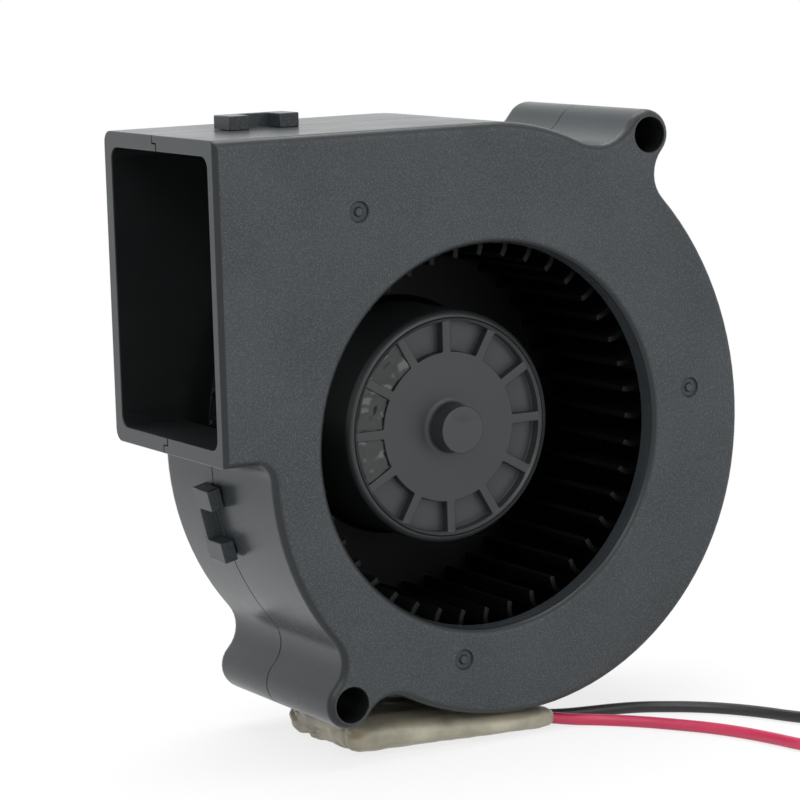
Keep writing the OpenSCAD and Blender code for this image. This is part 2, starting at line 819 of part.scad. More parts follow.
module plug_housing() {
    color([0.93, 0.92, 0.88]) translate([plug_x - plug_w / 2, plug_y, 0]) difference() {
        union() {
            cube([plug_w, plug_len, plug_t]);
            // Polarising ribs
            for (x = [1.2, plug_w - 2.2]) translate([x, 2.5, plug_t]) cube([1, plug_len - 2.5, 0.5]);
        }
        for (x = [-plug_pitch / 2, plug_pitch / 2])
            translate([plug_w / 2 + x - 0.9, 1.5, 1.7]) cube([1.8, plug_len, 1.8]);
        for (x = [-plug_pitch / 2, plug_pitch / 2])
            translate([plug_w / 2 + x, -1, 2.6]) rotate([-90, 0, 0]) cylinder(r = 0.85, h = 4);
    }
}

module plug_contacts() {
    color(brass) for (x = [-plug_pitch / 2, plug_pitch / 2])
        translate([plug_x + x - 0.85, plug_y + 3, 1.75]) difference() {
            cube([1.7, 5.5, 1.7]);
            translate([0.3, 1, 0.3]) cube([1.1, 6, 1.1]);
        }
}

front_cover();
rear_shell();
bearing_tube();
bearing_cap();
stator_core();
front_insulator();
rear_insulator();
windings();
terminal_pins();
circuit_board();
hall_sensor();
driver_chip();
chip_parts();
front_outer_race();
rear_outer_race();
bearing_shields();
front_balls();
front_cage();
rear_balls();
rear_cage();
impeller();
balance_putty();
rotor_yoke();
rotor_magnet();
shaft();
front_inner_race();
rear_inner_race();
preload_spring();
retaining_clip();
red_lead_inside();
black_lead_inside();
lead_bundle();
red_lead();
black_lead();
red_coil();
black_coil();
coil_tie();
plug_housing();
plug_contacts();
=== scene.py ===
"""Looks of a small dc blower: moulded casing, impeller, motor, taped leads and connector."""

import json
import logging
import math
from collections.abc import Callable
from dataclasses import astuple, dataclass, field
from enum import Enum

import bmesh
import bpy
from mathutils import Matrix, Vector, noise


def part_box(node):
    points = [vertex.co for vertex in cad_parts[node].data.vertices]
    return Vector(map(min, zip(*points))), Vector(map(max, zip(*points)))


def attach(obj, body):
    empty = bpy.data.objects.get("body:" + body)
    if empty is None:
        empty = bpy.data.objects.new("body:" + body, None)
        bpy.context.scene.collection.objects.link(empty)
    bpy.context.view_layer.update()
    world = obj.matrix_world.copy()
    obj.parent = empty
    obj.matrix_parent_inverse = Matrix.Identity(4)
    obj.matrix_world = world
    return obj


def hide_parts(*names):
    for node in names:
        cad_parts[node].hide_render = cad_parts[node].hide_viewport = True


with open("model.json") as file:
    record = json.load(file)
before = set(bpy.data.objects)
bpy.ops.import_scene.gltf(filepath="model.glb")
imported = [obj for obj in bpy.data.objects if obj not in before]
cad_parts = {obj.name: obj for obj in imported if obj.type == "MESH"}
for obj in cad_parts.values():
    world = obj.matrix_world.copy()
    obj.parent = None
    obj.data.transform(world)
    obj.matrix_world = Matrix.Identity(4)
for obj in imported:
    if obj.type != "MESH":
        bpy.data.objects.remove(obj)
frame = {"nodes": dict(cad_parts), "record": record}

MM = 0.001
MICRON = 1e-6
MERGE_DISTANCE = 2 * MICRON
HOUSING = "housing"
ROTOR = "rotor"
AXIS_Z = frame["record"]["behaviour"]["joints"][0]["pos_m"][2]
SCREW_HOLES = [mount for mount in frame["record"]["mounts"] if mount["kind"] == "bore"]

log = logging.getLogger("blower")

Colour = tuple[float, float, float]
Point = tuple[float, float, float]
Range = tuple[float, float]


# --- Finishes ----------------------------------------------------------------


class Relief(Enum):
    """The small relief that a surface has."""

    SPARK = "spark_grain"
    METAL = "tool_marks"
    TAPE = "creped_paper"


@dataclass(frozen=True)
class Finish:
    """How one surface looks.

    Attributes:
        name: The material's name.
        colour: Base colour, linear.
        roughness: Mean roughness.
        relief: Kind of small relief.
        grain_mm: Size of one grain of the relief.
        depth_um: Height of the relief in micrometres.
        speck: How strongly light specks show, from 0 to 1.
        cloud: How much the colour varies slowly over the surface.
        metallic: 1 for bare metal.
        specular: Specular level of the shader.
        coat: Weight of a clear gloss over the surface.
        front_roughness: Roughness of the grained face towards the inlet side, or 0 where all sides
            are alike; the other sides are then smooth, and the edge beside that face gets painted shade.
    """

    name: str
    colour: Colour
    roughness: float
    relief: Relief = Relief.SPARK
    grain_mm: float = 0.35
    depth_um: float = 6.0
    speck: float = 0.0
    cloud: float = 0.12
    metallic: float = 0.0
    specular: float = 0.5
    coat: float = 0.0
    front_roughness: float = 0.0


CASING = Finish(
    "casing_plastic", (0.036, 0.0425, 0.0465), 0.27, grain_mm=0.16, depth_um=32, speck=0.078,
    specular=0.3, front_roughness=0.5,
)
# Painted shade: the casing plastic made near black for the inner walls and screw holes, where shade falls.
DUCT_SHADE = Finish(
    "inner_wall_painted_shade", (0.007, 0.008, 0.0085), 0.5, grain_mm=0.5, depth_um=4, specular=0.2
)
WHEEL = Finish("impeller_plastic", (0.032, 0.0365, 0.038), 0.42, grain_mm=0.6, depth_um=7)
# Painted shade: a much darker copy of the impeller plastic for the blades, which lie in the casing's
# shade.
BLADE_SHADE = Finish("blade_plastic_painted_shade", (0.003, 0.0034, 0.0037), 0.45, grain_mm=0.6, depth_um=5, specular=0.14)
PUTTY = Finish("balance_putty", (0.022, 0.0255, 0.0235), 0.18, grain_mm=2.6, depth_um=22, cloud=0.35)
CAP = Finish("cap_plastic", (0.02, 0.021, 0.022), 0.4, grain_mm=0.5)
TURNED_BRASS = Finish("turned_brass", (0.72, 0.56, 0.28), 0.28, Relief.METAL, 0.2, 3, metallic=1.0)
LAMINATION = Finish("lamination_steel", (0.42, 0.42, 0.43), 0.42, Relief.METAL, 0.5, 8, metallic=1.0)
INSULATOR = Finish("insulator_nylon", (0.72, 0.70, 0.60), 0.4, grain_mm=0.6, depth_um=5)
COPPER = Finish("enamelled_copper", (0.60, 0.23, 0.09), 0.3, Relief.METAL, 0.3, 10, metallic=1.0, coat=0.6)
TINNED = Finish("tinned_pin", (0.68, 0.68, 0.68), 0.3, Relief.METAL, 0.2, 3, metallic=1.0)
BOARD = Finish("board_green", (0.02, 0.16, 0.07), 0.3, grain_mm=0.8, depth_um=8, coat=0.4)
RESIN = Finish("chip_resin", (0.02, 0.02, 0.021), 0.55, grain_mm=0.1, depth_um=5)
CERAMIC = Finish("chip_ceramic", (0.52, 0.38, 0.22), 0.5, grain_mm=0.1, depth_um=3)
GROUND = Finish("ground_steel", (0.62, 0.62, 0.64), 0.16, Relief.METAL, 0.12, 1.5, metallic=1.0)
PRESSED_BRASS = Finish("pressed_brass", (0.68, 0.50, 0.24), 0.34, Relief.METAL, 0.25, 3, metallic=1.0)
ZINC = Finish("zinc_plate", (0.52, 0.53, 0.55), 0.3, Relief.METAL, 0.6, 5, metallic=1.0)
FERRITE = Finish("bonded_ferrite", (0.05, 0.046, 0.042), 0.6, grain_mm=0.2, depth_um=10)
SPRING = Finish("spring_wire", (0.5, 0.5, 0.51), 0.28, Relief.METAL, 0.15, 2, metallic=1.0)
RED_LEAD = Finish("red_insulation", (0.56, 0.036, 0.100), 0.36, grain_mm=0.5, depth_um=5, cloud=0.08)
BLACK_LEAD = Finish("black_insulation", (0.014, 0.014, 0.015), 0.4, grain_mm=0.5, depth_um=5)
TAPE = Finish("masking_tape", (0.37, 0.345, 0.262), 0.42, Relief.TAPE, 1.1, 55, cloud=0.3, coat=0.15)
TIE = Finish("tie_nylon", (0.82, 0.82, 0.79), 0.35, grain_mm=0.4, depth_um=4, cloud=0.05)
PLUG = Finish("plug_nylon", (0.78, 0.76, 0.68), 0.38, grain_mm=0.5, depth_um=5, cloud=0.06)
CONTACT = Finish("tinned_contact", (0.70, 0.62, 0.42), 0.26, Relief.METAL, 0.2, 2, metallic=1.0)

NODE_FINISHES: dict[str, Finish] = {
    "bearing_cap": CAP,
    "bearing_tube": TURNED_BRASS,
    "stator_core": LAMINATION,
    "front_insulator": INSULATOR,
    "rear_insulator": INSULATOR,
    "windings": COPPER,
    "terminal_pins": TINNED,
    "circuit_board": BOARD,
    "hall_sensor": RESIN,
    "driver_chip": RESIN,
    "chip_parts": CERAMIC,
    "front_outer_race": GROUND,
    "rear_outer_race": GROUND,
    "bearing_shields": GROUND,
    "front_inner_race": GROUND,
    "rear_inner_race": GROUND,
    "front_balls": GROUND,
    "rear_balls": GROUND,
    "shaft": GROUND,
    "front_cage": PRESSED_BRASS,
    "rear_cage": PRESSED_BRASS,
    "rotor_yoke": ZINC,
    "rotor_magnet": FERRITE,
    "preload_spring": SPRING,
    "retaining_clip": SPRING,
    "red_lead_inside": RED_LEAD,
    "black_lead_inside": BLACK_LEAD,
    "plug_contacts": CONTACT,
}


# --- Materials ---------------------------------------------------------------


class Pen:
    """Adds nodes to one node tree and joins them."""

    def __init__(self, tree: bpy.types.NodeTree) -> None:
        """Keeps the tree that is written to."""
        self.tree = tree

    def add(self, kind: str, inputs: dict | None = None, **settings: object) -> bpy.types.Node:
        """Adds a node.

        Args:
            kind: The node's type, without its ShaderNode prefix.
            inputs: Socket name or index to a value or to another node's output.
            **settings: Properties of the node.

        Returns:
            The new node.
        """
        prefix = "" if kind.startswith("Node") else "ShaderNode"
        node = self.tree.nodes.new(prefix + kind)
        for key, value in settings.items():
            setattr(node, key, value)
        for key, value in (inputs or {}).items():
            if isinstance(value, bpy.types.NodeSocket):
                self.tree.links.new(value, node.inputs[key])
            else:
                node.inputs[key].default_value = value
        return node

    def math(self, operation: str, a: object, b: object = 0.0) -> bpy.types.NodeSocket:
        """Returns the output of a Math node of that operation on a and b."""
        return self.add("Math", {0: a, 1: b}, operation=operation).outputs[0]

    def noise(self, vector: object, scale: object, detail: float = 2.0) -> bpy.types.NodeSocket:
        """Returns the factor of a noise texture read at vector."""
        return self.add("TexNoise", {"Vector": vector, "Scale": scale, "Detail": detail}).outputs[0]

    def vector(self, operation: str, a: object, b: object) -> bpy.types.NodeSocket:
        """Returns the vector from a Vector Math node of that operation on a and b."""
        return self.add("VectorMath", {0: a, 1: b}, operation=operation).outputs["Vector"]

    def length(self, vector: object) -> bpy.types.NodeSocket:
        """Returns the length of a vector."""
        return self.add("VectorMath", {0: vector}, operation="LENGTH").outputs["Value"]

    def ramp(self, value: object, span: Range, to: Range = (0.0, 1.0)) -> bpy.types.NodeSocket:
        """Returns value mapped from one range to another, and clamped."""
        inputs = {0: value, 1: span[0], 2: span[1], 3: to[0], 4: to[1]}
        return self.add("MapRange", inputs).outputs[0]

    def mix(self, share: object, a: object, b: object) -> bpy.types.NodeSocket:
        """Returns colour a with that share of colour b."""
        return self.add("Mix", {0: share, 6: a, 7: b}, data_type="RGBA").outputs[2]


class Effects:
    """The relief groups that several materials share, each built once."""

    def __init__(self) -> None:
        """Starts with no group built."""
        self.groups: dict[Relief, bpy.types.NodeTree] = {}

    def group(self, relief: Relief) -> bpy.types.NodeTree:
        """Returns the node group of a relief, and builds it the first time.

        Args:
            relief: The relief that the group makes.

        Returns:
            The group, the same one each time.
        """
        if relief not in self.groups:
            makers = {Relief.SPARK: self.spark, Relief.METAL: self.metal, Relief.TAPE: self.paper}
            self.groups[relief] = self.frame_group(relief.value, makers[relief])
        return self.groups[relief]

    @staticmethod
    def frame_group(name: str, fill: Callable[[Pen, object, object], tuple]) -> bpy.types.NodeTree:
        """Makes a group with the shared sockets and fills it.

        Args:
            name: The group's name.
            fill: Turns pen, vector and grain scale into the sockets for height, speck and cloud.

        Returns:
            The finished group.
        """
        tree = bpy.data.node_groups.new(name, "ShaderNodeTree")
        tree.interface.new_socket("Vector", in_out="INPUT", socket_type="NodeSocketVector")
        tree.interface.new_socket("Grain Scale", in_out="INPUT", socket_type="NodeSocketFloat")
        for out in ("Height", "Speck", "Cloud"):
            tree.interface.new_socket(out, in_out="OUTPUT", socket_type="NodeSocketFloat")
        pen = Pen(tree)
        start = pen.add("NodeGroupInput")
        height, speck, cloud = fill(pen, start.outputs["Vector"], start.outputs["Grain Scale"])
        pen.add("NodeGroupOutput", {"Height": height, "Speck": speck, "Cloud": cloud})
        return tree

    @staticmethod
    def spark(pen: Pen, vector: object, scale: object) -> tuple:
        """Makes the grain of a spark-eroded mould: pits, finer pits on them, stray light specks.

        Args:
            pen: Writes into the group.
            vector: Where on the piece, in metres.
            scale: Grains to the metre.

        Returns:
            Height, speck and cloud.
        """
        fine_scale = 2.3
        fine_height = 0.4
        stray_scale = 0.83
        stray_range = (0.48, 0.70)
        clouds_to_the_metre = 85.0
        coarse = pen.noise(vector, scale, 3.0)
        fine = pen.noise(vector, pen.math("MULTIPLY", scale, fine_scale), 1.0)
        height = pen.math("ADD", coarse, pen.math("MULTIPLY", fine, fine_height))
        stray = pen.noise(vector, pen.math("MULTIPLY", scale, stray_scale), 1.0)
        return height, pen.ramp(stray, stray_range), pen.noise(vector, clouds_to_the_metre, 3.0)

    @staticmethod
    def metal(pen: Pen, vector: object, scale: object) -> tuple:
        """Makes fine tool marks that run round the shaft's line.

        Args:
            pen: Writes into the group.
            vector: Where on the piece, in metres.
            scale: Marks to the metre along the shaft.

        Returns:
            Height, speck and cloud.
        """
        stretch = (0.25, 1.0, 0.25)
        bright_range = (0.62, 0.75)
        clouds_to_the_metre = 160.0
        stretched = pen.add("Mapping", {"Vector": vector, "Scale": stretch}).outputs[0]
        marks = pen.noise(stretched, scale, 4.0)
        return marks, pen.ramp(marks, bright_range), pen.noise(vector, clouds_to_the_metre, 2.0)

    @staticmethod
    def paper(pen: Pen, vector: object, scale: object) -> tuple:
        """Makes creped paper: long soft ridges, short creases across them, blotches of adhesive.

        Args:
            pen: Writes into the group.
            vector: Where on the piece, in metres.
            scale: Ridges to the metre across the tape.

        Returns:
            Height, speck and cloud.
        """
        ridge_stretch = (0.16, 1.0, 1.0)
        crepe_stretch = (2.2, 0.5, 0.5)
        crepe_scale = 1.3
        crepe_height = 0.3
        crest_range = (0.55, 0.75)
        blotches_to_the_metre = 230.0
        along = pen.add("Mapping", {"Vector": vector, "Scale": ridge_stretch}).outputs[0]
        across = pen.add("Mapping", {"Vector": vector, "Scale": crepe_stretch}).outputs[0]
        ridges = pen.noise(along, scale, 2.0)
        crepe = pen.noise(across, pen.math("MULTIPLY", scale, crepe_scale), 3.0)
        height = pen.math("ADD", ridges, pen.math("MULTIPLY", crepe, crepe_height))
        return height, pen.ramp(ridges, crest_range), pen.noise(vector, blotches_to_the_metre, 4.0)


class Paint:
    """Makes each finish's material once and puts it on pieces.

    Attributes:
        cloud_range: Part of the cloud noise over which colour and roughness change.
        roughness_swing: Lowest and highest roughness as shares of the mean.
        coat_roughness: Roughness of every clear gloss.
        speck_colour: Colour of the light specks.
        face_normals: The normal's Y where the inlet face starts, and where it is fully grained.
        shade_edge_from: The normal's Y where the rounded edge beside the inlet face starts and is full.
        shade_edge_to: The normal's Y where that edge ends in a side, and where it is still full.
        shade_edge_share: Share of the colour that the rounded edge keeps under its painted shade.
        side_relief: Share of the grain's height that the smooth sides keep.
    """

    cloud_range: Range = (0.3, 0.7)
    roughness_swing: Range = (0.86, 1.16)
    coat_roughness = 0.2
    speck_colour = (0.5, 0.5, 0.5, 1.0)
    face_normals: Range = (-0.55, -0.92)
    shade_edge_from: Range = (-0.97, -0.82)
    shade_edge_to: Range = (-0.12, -0.4)
    shade_edge_share = 0.45
    side_relief = 0.12

    def __init__(self) -> None:
        """Starts with no material made."""
        self.effects = Effects()
        self.made: dict[str, bpy.types.Material] = {}

    def material(self, finish: Finish) -> bpy.types.Material:
        """Returns the material of a finish.

        Args:
            finish: The finish that the material shows.

        Returns:
            The material, the same one each time for the same finish.
        """
        if finish.name in self.made:
            return self.made[finish.name]
        result = bpy.data.materials.new(finish.name)
        result.use_nodes = True
        result.node_tree.nodes.clear()
        pen = Pen(result.node_tree)
        place = pen.add("TexCoord").outputs["Object"]
        grains = {"Vector": place, "Grain Scale": 1.0 / (finish.grain_mm * MM)}
        relief = pen.add("Group", grains, node_tree=self.effects.group(finish.relief))
        low, high = self.roughness_swing
        spread = (finish.roughness * low, min(1.0, finish.roughness * high))
        roughness = pen.ramp(relief.outputs["Cloud"], self.cloud_range, spread)
        height = relief.outputs["Height"]
        if finish.front_roughness:
            facing = self.front_share(pen)
            gap = pen.math("SUBTRACT", finish.front_roughness, roughness)
            roughness = pen.math("ADD", roughness, pen.math("MULTIPLY", gap, facing))
            kept = pen.ramp(facing, (0.0, 1.0), (self.side_relief, 1.0))
            height = pen.math("MULTIPLY", height, kept)
        depth = finish.depth_um * MICRON
        bump = pen.add("Bump", {"Strength": 1.0, "Distance": depth, "Height": height})
        shader = pen.add(
            "BsdfPrincipled",
            {
                "Base Color": self.colours(pen, finish, place, relief),
                "Roughness": roughness,
                "Metallic": finish.metallic,
                "Specular IOR Level": finish.specular,
                "Coat Weight": finish.coat,
                "Coat Roughness": self.coat_roughness,
                "Normal": bump.outputs["Normal"],
            },
        )
        pen.add("OutputMaterial", {"Surface": shader.outputs["BSDF"]})
        self.made[finish.name] = result
        return result

    def colours(
        self, pen: Pen, finish: Finish, place: object, relief: bpy.types.Node
    ) -> bpy.types.NodeSocket:
        """Makes the base colour with its slow variation, specks, painted shade on the rounded edge, on the
        boss and between wire turns, and the tape's stain.

        Args:
            pen: Writes into the material.
            finish: The finish that the material shows.
            place: Where on the piece, in metres.
            relief: The finish's relief group.

        Returns:
            The colour.
        """
        base = Vector(finish.colour)
        dark = (*(base * (1 - finish.cloud)), 1.0)
        light = (*(base * (1 + finish.cloud)), 1.0)
        colour = pen.mix(pen.ramp(relief.outputs["Cloud"], self.cloud_range), dark, light)
        if finish.speck:
            share = pen.math("MULTIPLY", relief.outputs["Speck"], finish.speck)
            if finish.front_roughness:
                share = pen.math("MULTIPLY", share, self.front_share(pen))
            colour = pen.mix(share, colour, self.speck_colour)
        # Painted shade: the rounded edge beside the inlet face is darkened, standing in for the dark
        # surroundings it reflects.
        if finish.front_roughness:
            shaded_edge_colour = (*(base * self.shade_edge_share), 1.0)
            colour = pen.mix(self.painted_edge_shade(pen), colour, shaded_edge_colour)
        # The boss and the gaps between wire turns get painted shade; the tape gets its adhesive stain.
        patterns = {WHEEL: self.painted_boss_shade, COPPER: self.shade_between_turns, TAPE: self.stained}
        if finish in patterns:
            colour = patterns[finish](pen, place, colour)
        return colour

    @staticmethod
    def normal_y(pen: Pen) -> bpy.types.NodeSocket:
        """Returns the normal's Y: -1 on the inlet face, 0 on the sides, 1 on the back."""
        normal = pen.add("NewGeometry").outputs["Normal"]
        return pen.add("SeparateXYZ", {0: normal}).outputs["Y"]

    def front_share(self, pen: Pen) -> bpy.types.NodeSocket:
        """Returns 1 on faces towards the inlet side, where the mould was spark eroded, else 0."""
        return pen.ramp(self.normal_y(pen), self.face_normals)

    def painted_edge_shade(self, pen: Pen) -> bpy.types.NodeSocket:
        """Returns 1 on the rounded edge between the inlet face and the sides, where shade is painted, else
        0.
        """
        along = self.normal_y(pen)
        return pen.math("MULTIPLY", pen.ramp(along, self.shade_edge_from), pen.ramp(along, self.shade_edge_to))

    @staticmethod
    def painted_boss_shade(pen: Pen, place: object, colour: object) -> bpy.types.NodeSocket:
        """Paints a soft patch of shade on the hub's boss.

        Args:
            pen: Writes into the material.
            place: Where on the piece, in metres.
            colour: The colour beside the painted shade.

        Returns:
            The colour with the painted shade.
        """
        # Painted shade: a soft dark patch on the boss.
        middle = (0.2 * MM, -7.6 * MM, AXIS_Z + 1.4 * MM)
        squeeze = (0.35, 0.1, 1.0)
        fade = (0.1 * MM, 0.7 * MM)
        strength = 0.5
        dark = (0.012, 0.013, 0.0135, 1.0)
        offset = pen.vector("SUBTRACT", place, middle)
        reach = pen.length(pen.vector("MULTIPLY", offset, squeeze))
        return pen.mix(pen.ramp(reach, fade, (strength, 0.0)), colour, dark)

    @staticmethod
    def shade_between_turns(pen: Pen, place: object, colour: object) -> bpy.types.NodeSocket:
        """Paints shade on the copper between one turn of wire and the next, out along each pole.

        Args:
            pen: Writes into the material.
            place: Where on the piece, in metres.
            colour: The colour on top of a turn.

        Returns:
            The colour with painted shade in its gaps.
        """
        # Painted shade: the grooves between round turns are darkened where shade falls.
        turn_mm = 0.32
        gap_wave = (-1.0, -0.2)
        strength = 0.75
        dark = (0.10, 0.03, 0.01, 1.0)
        centred = pen.add("Mapping", {"Vector": place, "Location": (0, 0, -AXIS_Z), "Scale": (1, 0, 1)})
        reach = pen.length(centred.outputs[0])
        wave = pen.math("SINE", pen.math("MULTIPLY", reach, 2 * math.pi / (turn_mm * MM)))
        return pen.mix(pen.ramp(wave, gap_wave, (strength, 0.0)), colour, dark)

    @staticmethod
    def stained(pen: Pen, place: object, colour: object) -> bpy.types.NodeSocket:
        """Adds the small amber spot of adhesive at the tape's folded corner.

        Args:
            pen: Writes into the material.
            place: Where on the piece, in metres.
            colour: The tape's colour.

        Returns:
            The colour with the spot.
        """
        spot = (-18.6 * MM, -11.2 * MM, 3.0 * MM)
        fade = (0.2 * MM, 1.0 * MM)
        strength = 0.35
        amber = (0.50, 0.27, 0.10, 1.0)
        apart = pen.length(pen.vector("SUBTRACT", place, spot))
        return pen.mix(pen.ramp(apart, fade, (strength, 0.0)), colour, amber)

    def put(self, piece: bpy.types.Object, finish: Finish) -> None:
        """Makes the finish the only material of a piece."""
        piece.data.materials.clear()
        piece.data.materials.append(self.material(finish))


# --- Shared building steps ---------------------------------------------------


def linked(name: str, data: bpy.types.ID) -> bpy.types.Object:
    """Makes an object and links it to the scene.

    Args:
        name: The object's name.
        data: Its mesh, curve, lamp or camera.

    Returns:
        The new object.
    """
    piece = bpy.data.objects.new(name, data)
    bpy.context.scene.collection.objects.link(piece)
    return piece


def from_bmesh(name: str, bm: bmesh.types.BMesh) -> bpy.types.Object:
    """Turns a bmesh into an object that is shaded smooth, and frees it.

    Args:
        name: The new piece's name.
        bm: The finished bmesh, in metres.

    Returns:
        The new object, linked to the scene.
    """
    bmesh.ops.recalc_face_normals(bm, faces=bm.faces)
    for face in bm.faces:
        face.smooth = True
    mesh = bpy.data.meshes.new(name)
    bm.to_mesh(mesh)
    bm.free()
    return linked(name, mesh)


def copy_of(node: str) -> bmesh.types.BMesh:
    """Copies a CAD node's loose triangles and merges them.

    Args:
        node: The node's name.

    Returns:
        The merged bmesh, in metres.
    """
    bm = bmesh.new()
    bm.from_mesh(frame["nodes"][node].data)
    bmesh.ops.remove_doubles(bm, verts=bm.verts, dist=MERGE_DISTANCE)
    return bm


def join_flats(bm: bmesh.types.BMesh) -> None:
    """Joins triangles that lie in one plane, so that bevels run evenly."""
    flat = math.radians(0.6)
    bmesh.ops.dissolve_limit(
        bm, angle_limit=flat, verts=bm.verts, edges=bm.edges, use_dissolve_boundaries=False
    )


def edges_among(bm: bmesh.types.BMesh, verts: list[bmesh.types.BMVert]) -> list[bmesh.types.BMEdge]:
    """Returns the edges that have both ends among some vertices."""
    ends = set(verts)
    return [edge for edge in bm.edges if all(vert in ends for vert in edge.verts)]


def crisp(piece: bpy.types.Object, edge_mm: float, corner: float = 38.0) -> None:
    """Breaks a moulded piece's sharp edges and shades its curves smooth.

    Args:
        piece: The piece to finish.
        edge_mm: Width of the small bevel on sharp edges, or 0 for none.
        corner: Edges that turn more than this many degrees count as sharp.
    """
    piece.data.set_sharp_from_angle(angle=math.radians(corner))
    if edge_mm:
        bevel = piece.modifiers.new("broken_edges", "BEVEL")
        bevel.width = edge_mm * MM
        bevel.segments = 2
        bevel.limit_method = "ANGLE"
        bevel.angle_limit = math.radians(corner)
        bevel.use_clamp_overlap = False
        bevel.miter_outer = "MITER_ARC"
    normals = piece.modifiers.new("even_shading", "WEIGHTED_NORMAL")
    normals.keep_sharp = True
    normals.weight = 80


def metres(points: list[Point]) -> list[Point]:
    """Returns points given in millimetres as points in metres."""
    return [tuple(value * MM for value in point) for point in points]


def squared(value: float, squareness: float) -> float:
    """Returns a sine or cosine pushed outwards, so that a circle turns into a rounded square."""
    return math.copysign(abs(value) ** (2 / squareness), value)


def noise_at(point: Vector, scale: Point, start: Point = (0.0, 0.0, 0.0)) -> float:
    """Returns smooth noise, about -1 to 1, with its own scale and start along each axis."""
    return noise.noise(Vector([value * s + first for value, s, first in zip(point, scale, start)]))


# --- Studio ------------------------------------------------------------------


@dataclass(frozen=True)
class Lamp:
    """A square soft lamp that points at the blower.

    Attributes:
        name: The lamp's name.
        place: Where it hangs, in metres.
        size: Side of its square, in metres.
        power: Its power in watts.
    """

    name: str
    place: Point
    size: float
    power: float


@dataclass
class Studio:
    """Camera, soft lamps, white surroundings and a pale floor.

    Attributes:
        eye: Where the camera stands, in metres.
        forward: The way it looks.
        roll_deg: Its turn about that way.
        lens_mm: Its focal length on a 36 mm wide sensor.
        lamps: Key lamp at the upper left, top lamp and a weak lamp in front.
        fill: Strength of the surroundings as a light.
        floor_size: Side of the floor, in metres.
        floor_drop_mm: How far the floor lies under the blower.
        floor_grey: Colour of the floor in each channel.
        fade: Distance over which the floor turns plain white, in metres.
        near_white: How white the floor is right beside the blower.
    """

    eye: Point = (-0.2119, -0.3534, 0.1047)
    forward: Point = (0.5001, 0.8530, -0.1495)
    roll_deg: float = -1.68
    lens_mm: float = 145.35
    lamps: tuple[Lamp, ...] = (
        Lamp("key", (-0.6, -0.45, 0.7), 0.5, 2.5),
        Lamp("top", (0.05, 0.15, 0.9), 0.8, 8.2),
        Lamp("front_fill", (0.3, -0.9, 0.4), 0.6, 2.0),
    )
    fill: float = 0.42
    floor_size: float = 6.0
    floor_drop_mm: float = 0.05
    floor_grey: float = 0.9
    fade: Range = (0.05, 0.16)
    near_white: float = 0.78

    def camera(self) -> None:
        """Places the camera and makes it the scene's own."""
        data = bpy.data.cameras.new("view")
        data.lens = self.lens_mm
        data.sensor_width = 36.0
        data.clip_start = 0.01
        data.clip_end = 20.0
        ahead = Vector(self.forward).normalized()
        right = ahead.cross(Vector((0, 0, 1))).normalized()
        up = right.cross(ahead)
        turn = math.radians(self.roll_deg)
        side = right * math.cos(turn) + up * math.sin(turn)
        top = up * math.cos(turn) - right * math.sin(turn)
        turned = Matrix((side, top, -ahead)).transposed().to_4x4()
        camera = linked("view", data)
        camera.matrix_world = Matrix.Translation(self.eye) @ turned
        bpy.context.scene.camera = camera

    @staticmethod
    def hang(lamp: Lamp) -> None:
        """Adds one lamp, aimed at the middle of the impeller.

        Args:
            lamp: The lamp.
        """
        data = bpy.data.lights.new(lamp.name, "AREA")
        data.shape = "SQUARE"
        data.size = lamp.size
        data.energy = lamp.power
        light = linked(lamp.name, data)
        light.location = lamp.place
        aim = Vector((0, 0, AXIS_Z)) - Vector(lamp.place)
        light.rotation_euler = aim.to_track_quat("-Z", "Y").to_euler()

    def surroundings(self) -> None:
        """Makes the world white to look at, and softer as a light."""
        world = bpy.data.worlds.new("white_room")
        world.use_nodes = True
        world.node_tree.nodes.clear()
        pen = Pen(world.node_tree)
        seen = pen.add("Background", {"Color": (1, 1, 1, 1), "Strength": 1.0})
        lit = pen.add("Background", {"Color": (1, 1, 1, 1), "Strength": self.fill})
        mixed = pen.add("MixShader", {0: self.looked_at(pen), 1: lit.outputs[0], 2: seen.outputs[0]})
        pen.add("OutputWorld", {"Surface": mixed.outputs[0]})
        bpy.context.scene.world = world

    @staticmethod
    def looked_at(pen: Pen) -> bpy.types.NodeSocket:
        """Finds what the camera sees straight, mirrored or through glass.

        Args:
            pen: Writes into the floor's or the world's nodes.

        Returns:
            1 for what is seen, and 0 for what only gives light.
        """
        path = pen.add("LightPath")
        mirrored = pen.math("MAXIMUM", path.outputs["Is Camera Ray"], path.outputs["Is Glossy Ray"])
        return pen.math("MAXIMUM", mirrored, path.outputs["Is Transmission Ray"])

    def floor(self) -> None:
        """Lays a pale floor that stays white round the object and keeps its shadow."""
        bm = bmesh.new()
        half = self.floor_size / 2
        bmesh.ops.create_grid(bm, x_segments=1, y_segments=1, size=half)
        bmesh.ops.translate(bm, verts=bm.verts, vec=(0, 0, -self.floor_drop_mm * MM))
        piece = from_bmesh("floor", bm)
        material = bpy.data.materials.new("pale_floor")
        material.use_nodes = True
        material.node_tree.nodes.clear()
        pen = Pen(material.node_tree)
        grey = (self.floor_grey, self.floor_grey, self.floor_grey, 1.0)
        matte = pen.add("BsdfDiffuse", {"Color": grey})
        white = pen.add("Emission", {"Color": (1, 1, 1, 1), "Strength": 1.0})
        reach = pen.length(pen.add("TexCoord").outputs["Object"])
        plain = pen.ramp(reach, self.fade, (self.near_white, 1.0))
        share = pen.math("MULTIPLY", self.looked_at(pen), plain)
        mixed = pen.add("MixShader", {0: share, 1: matte.outputs[0], 2: white.outputs[0]})
        pen.add("OutputMaterial", {"Surface": mixed.outputs[0]})
        piece.data.materials.append(material)

    def build(self) -> None:
        """Builds the whole studio."""
        self.camera()
        for lamp in self.lamps:
            self.hang(lamp)
        self.surroundings()
        self.floor()
        bpy.context.scene.view_settings.view_transform = "Standard"
        log.info("studio ready")


# --- Leads -------------------------------------------------------------------


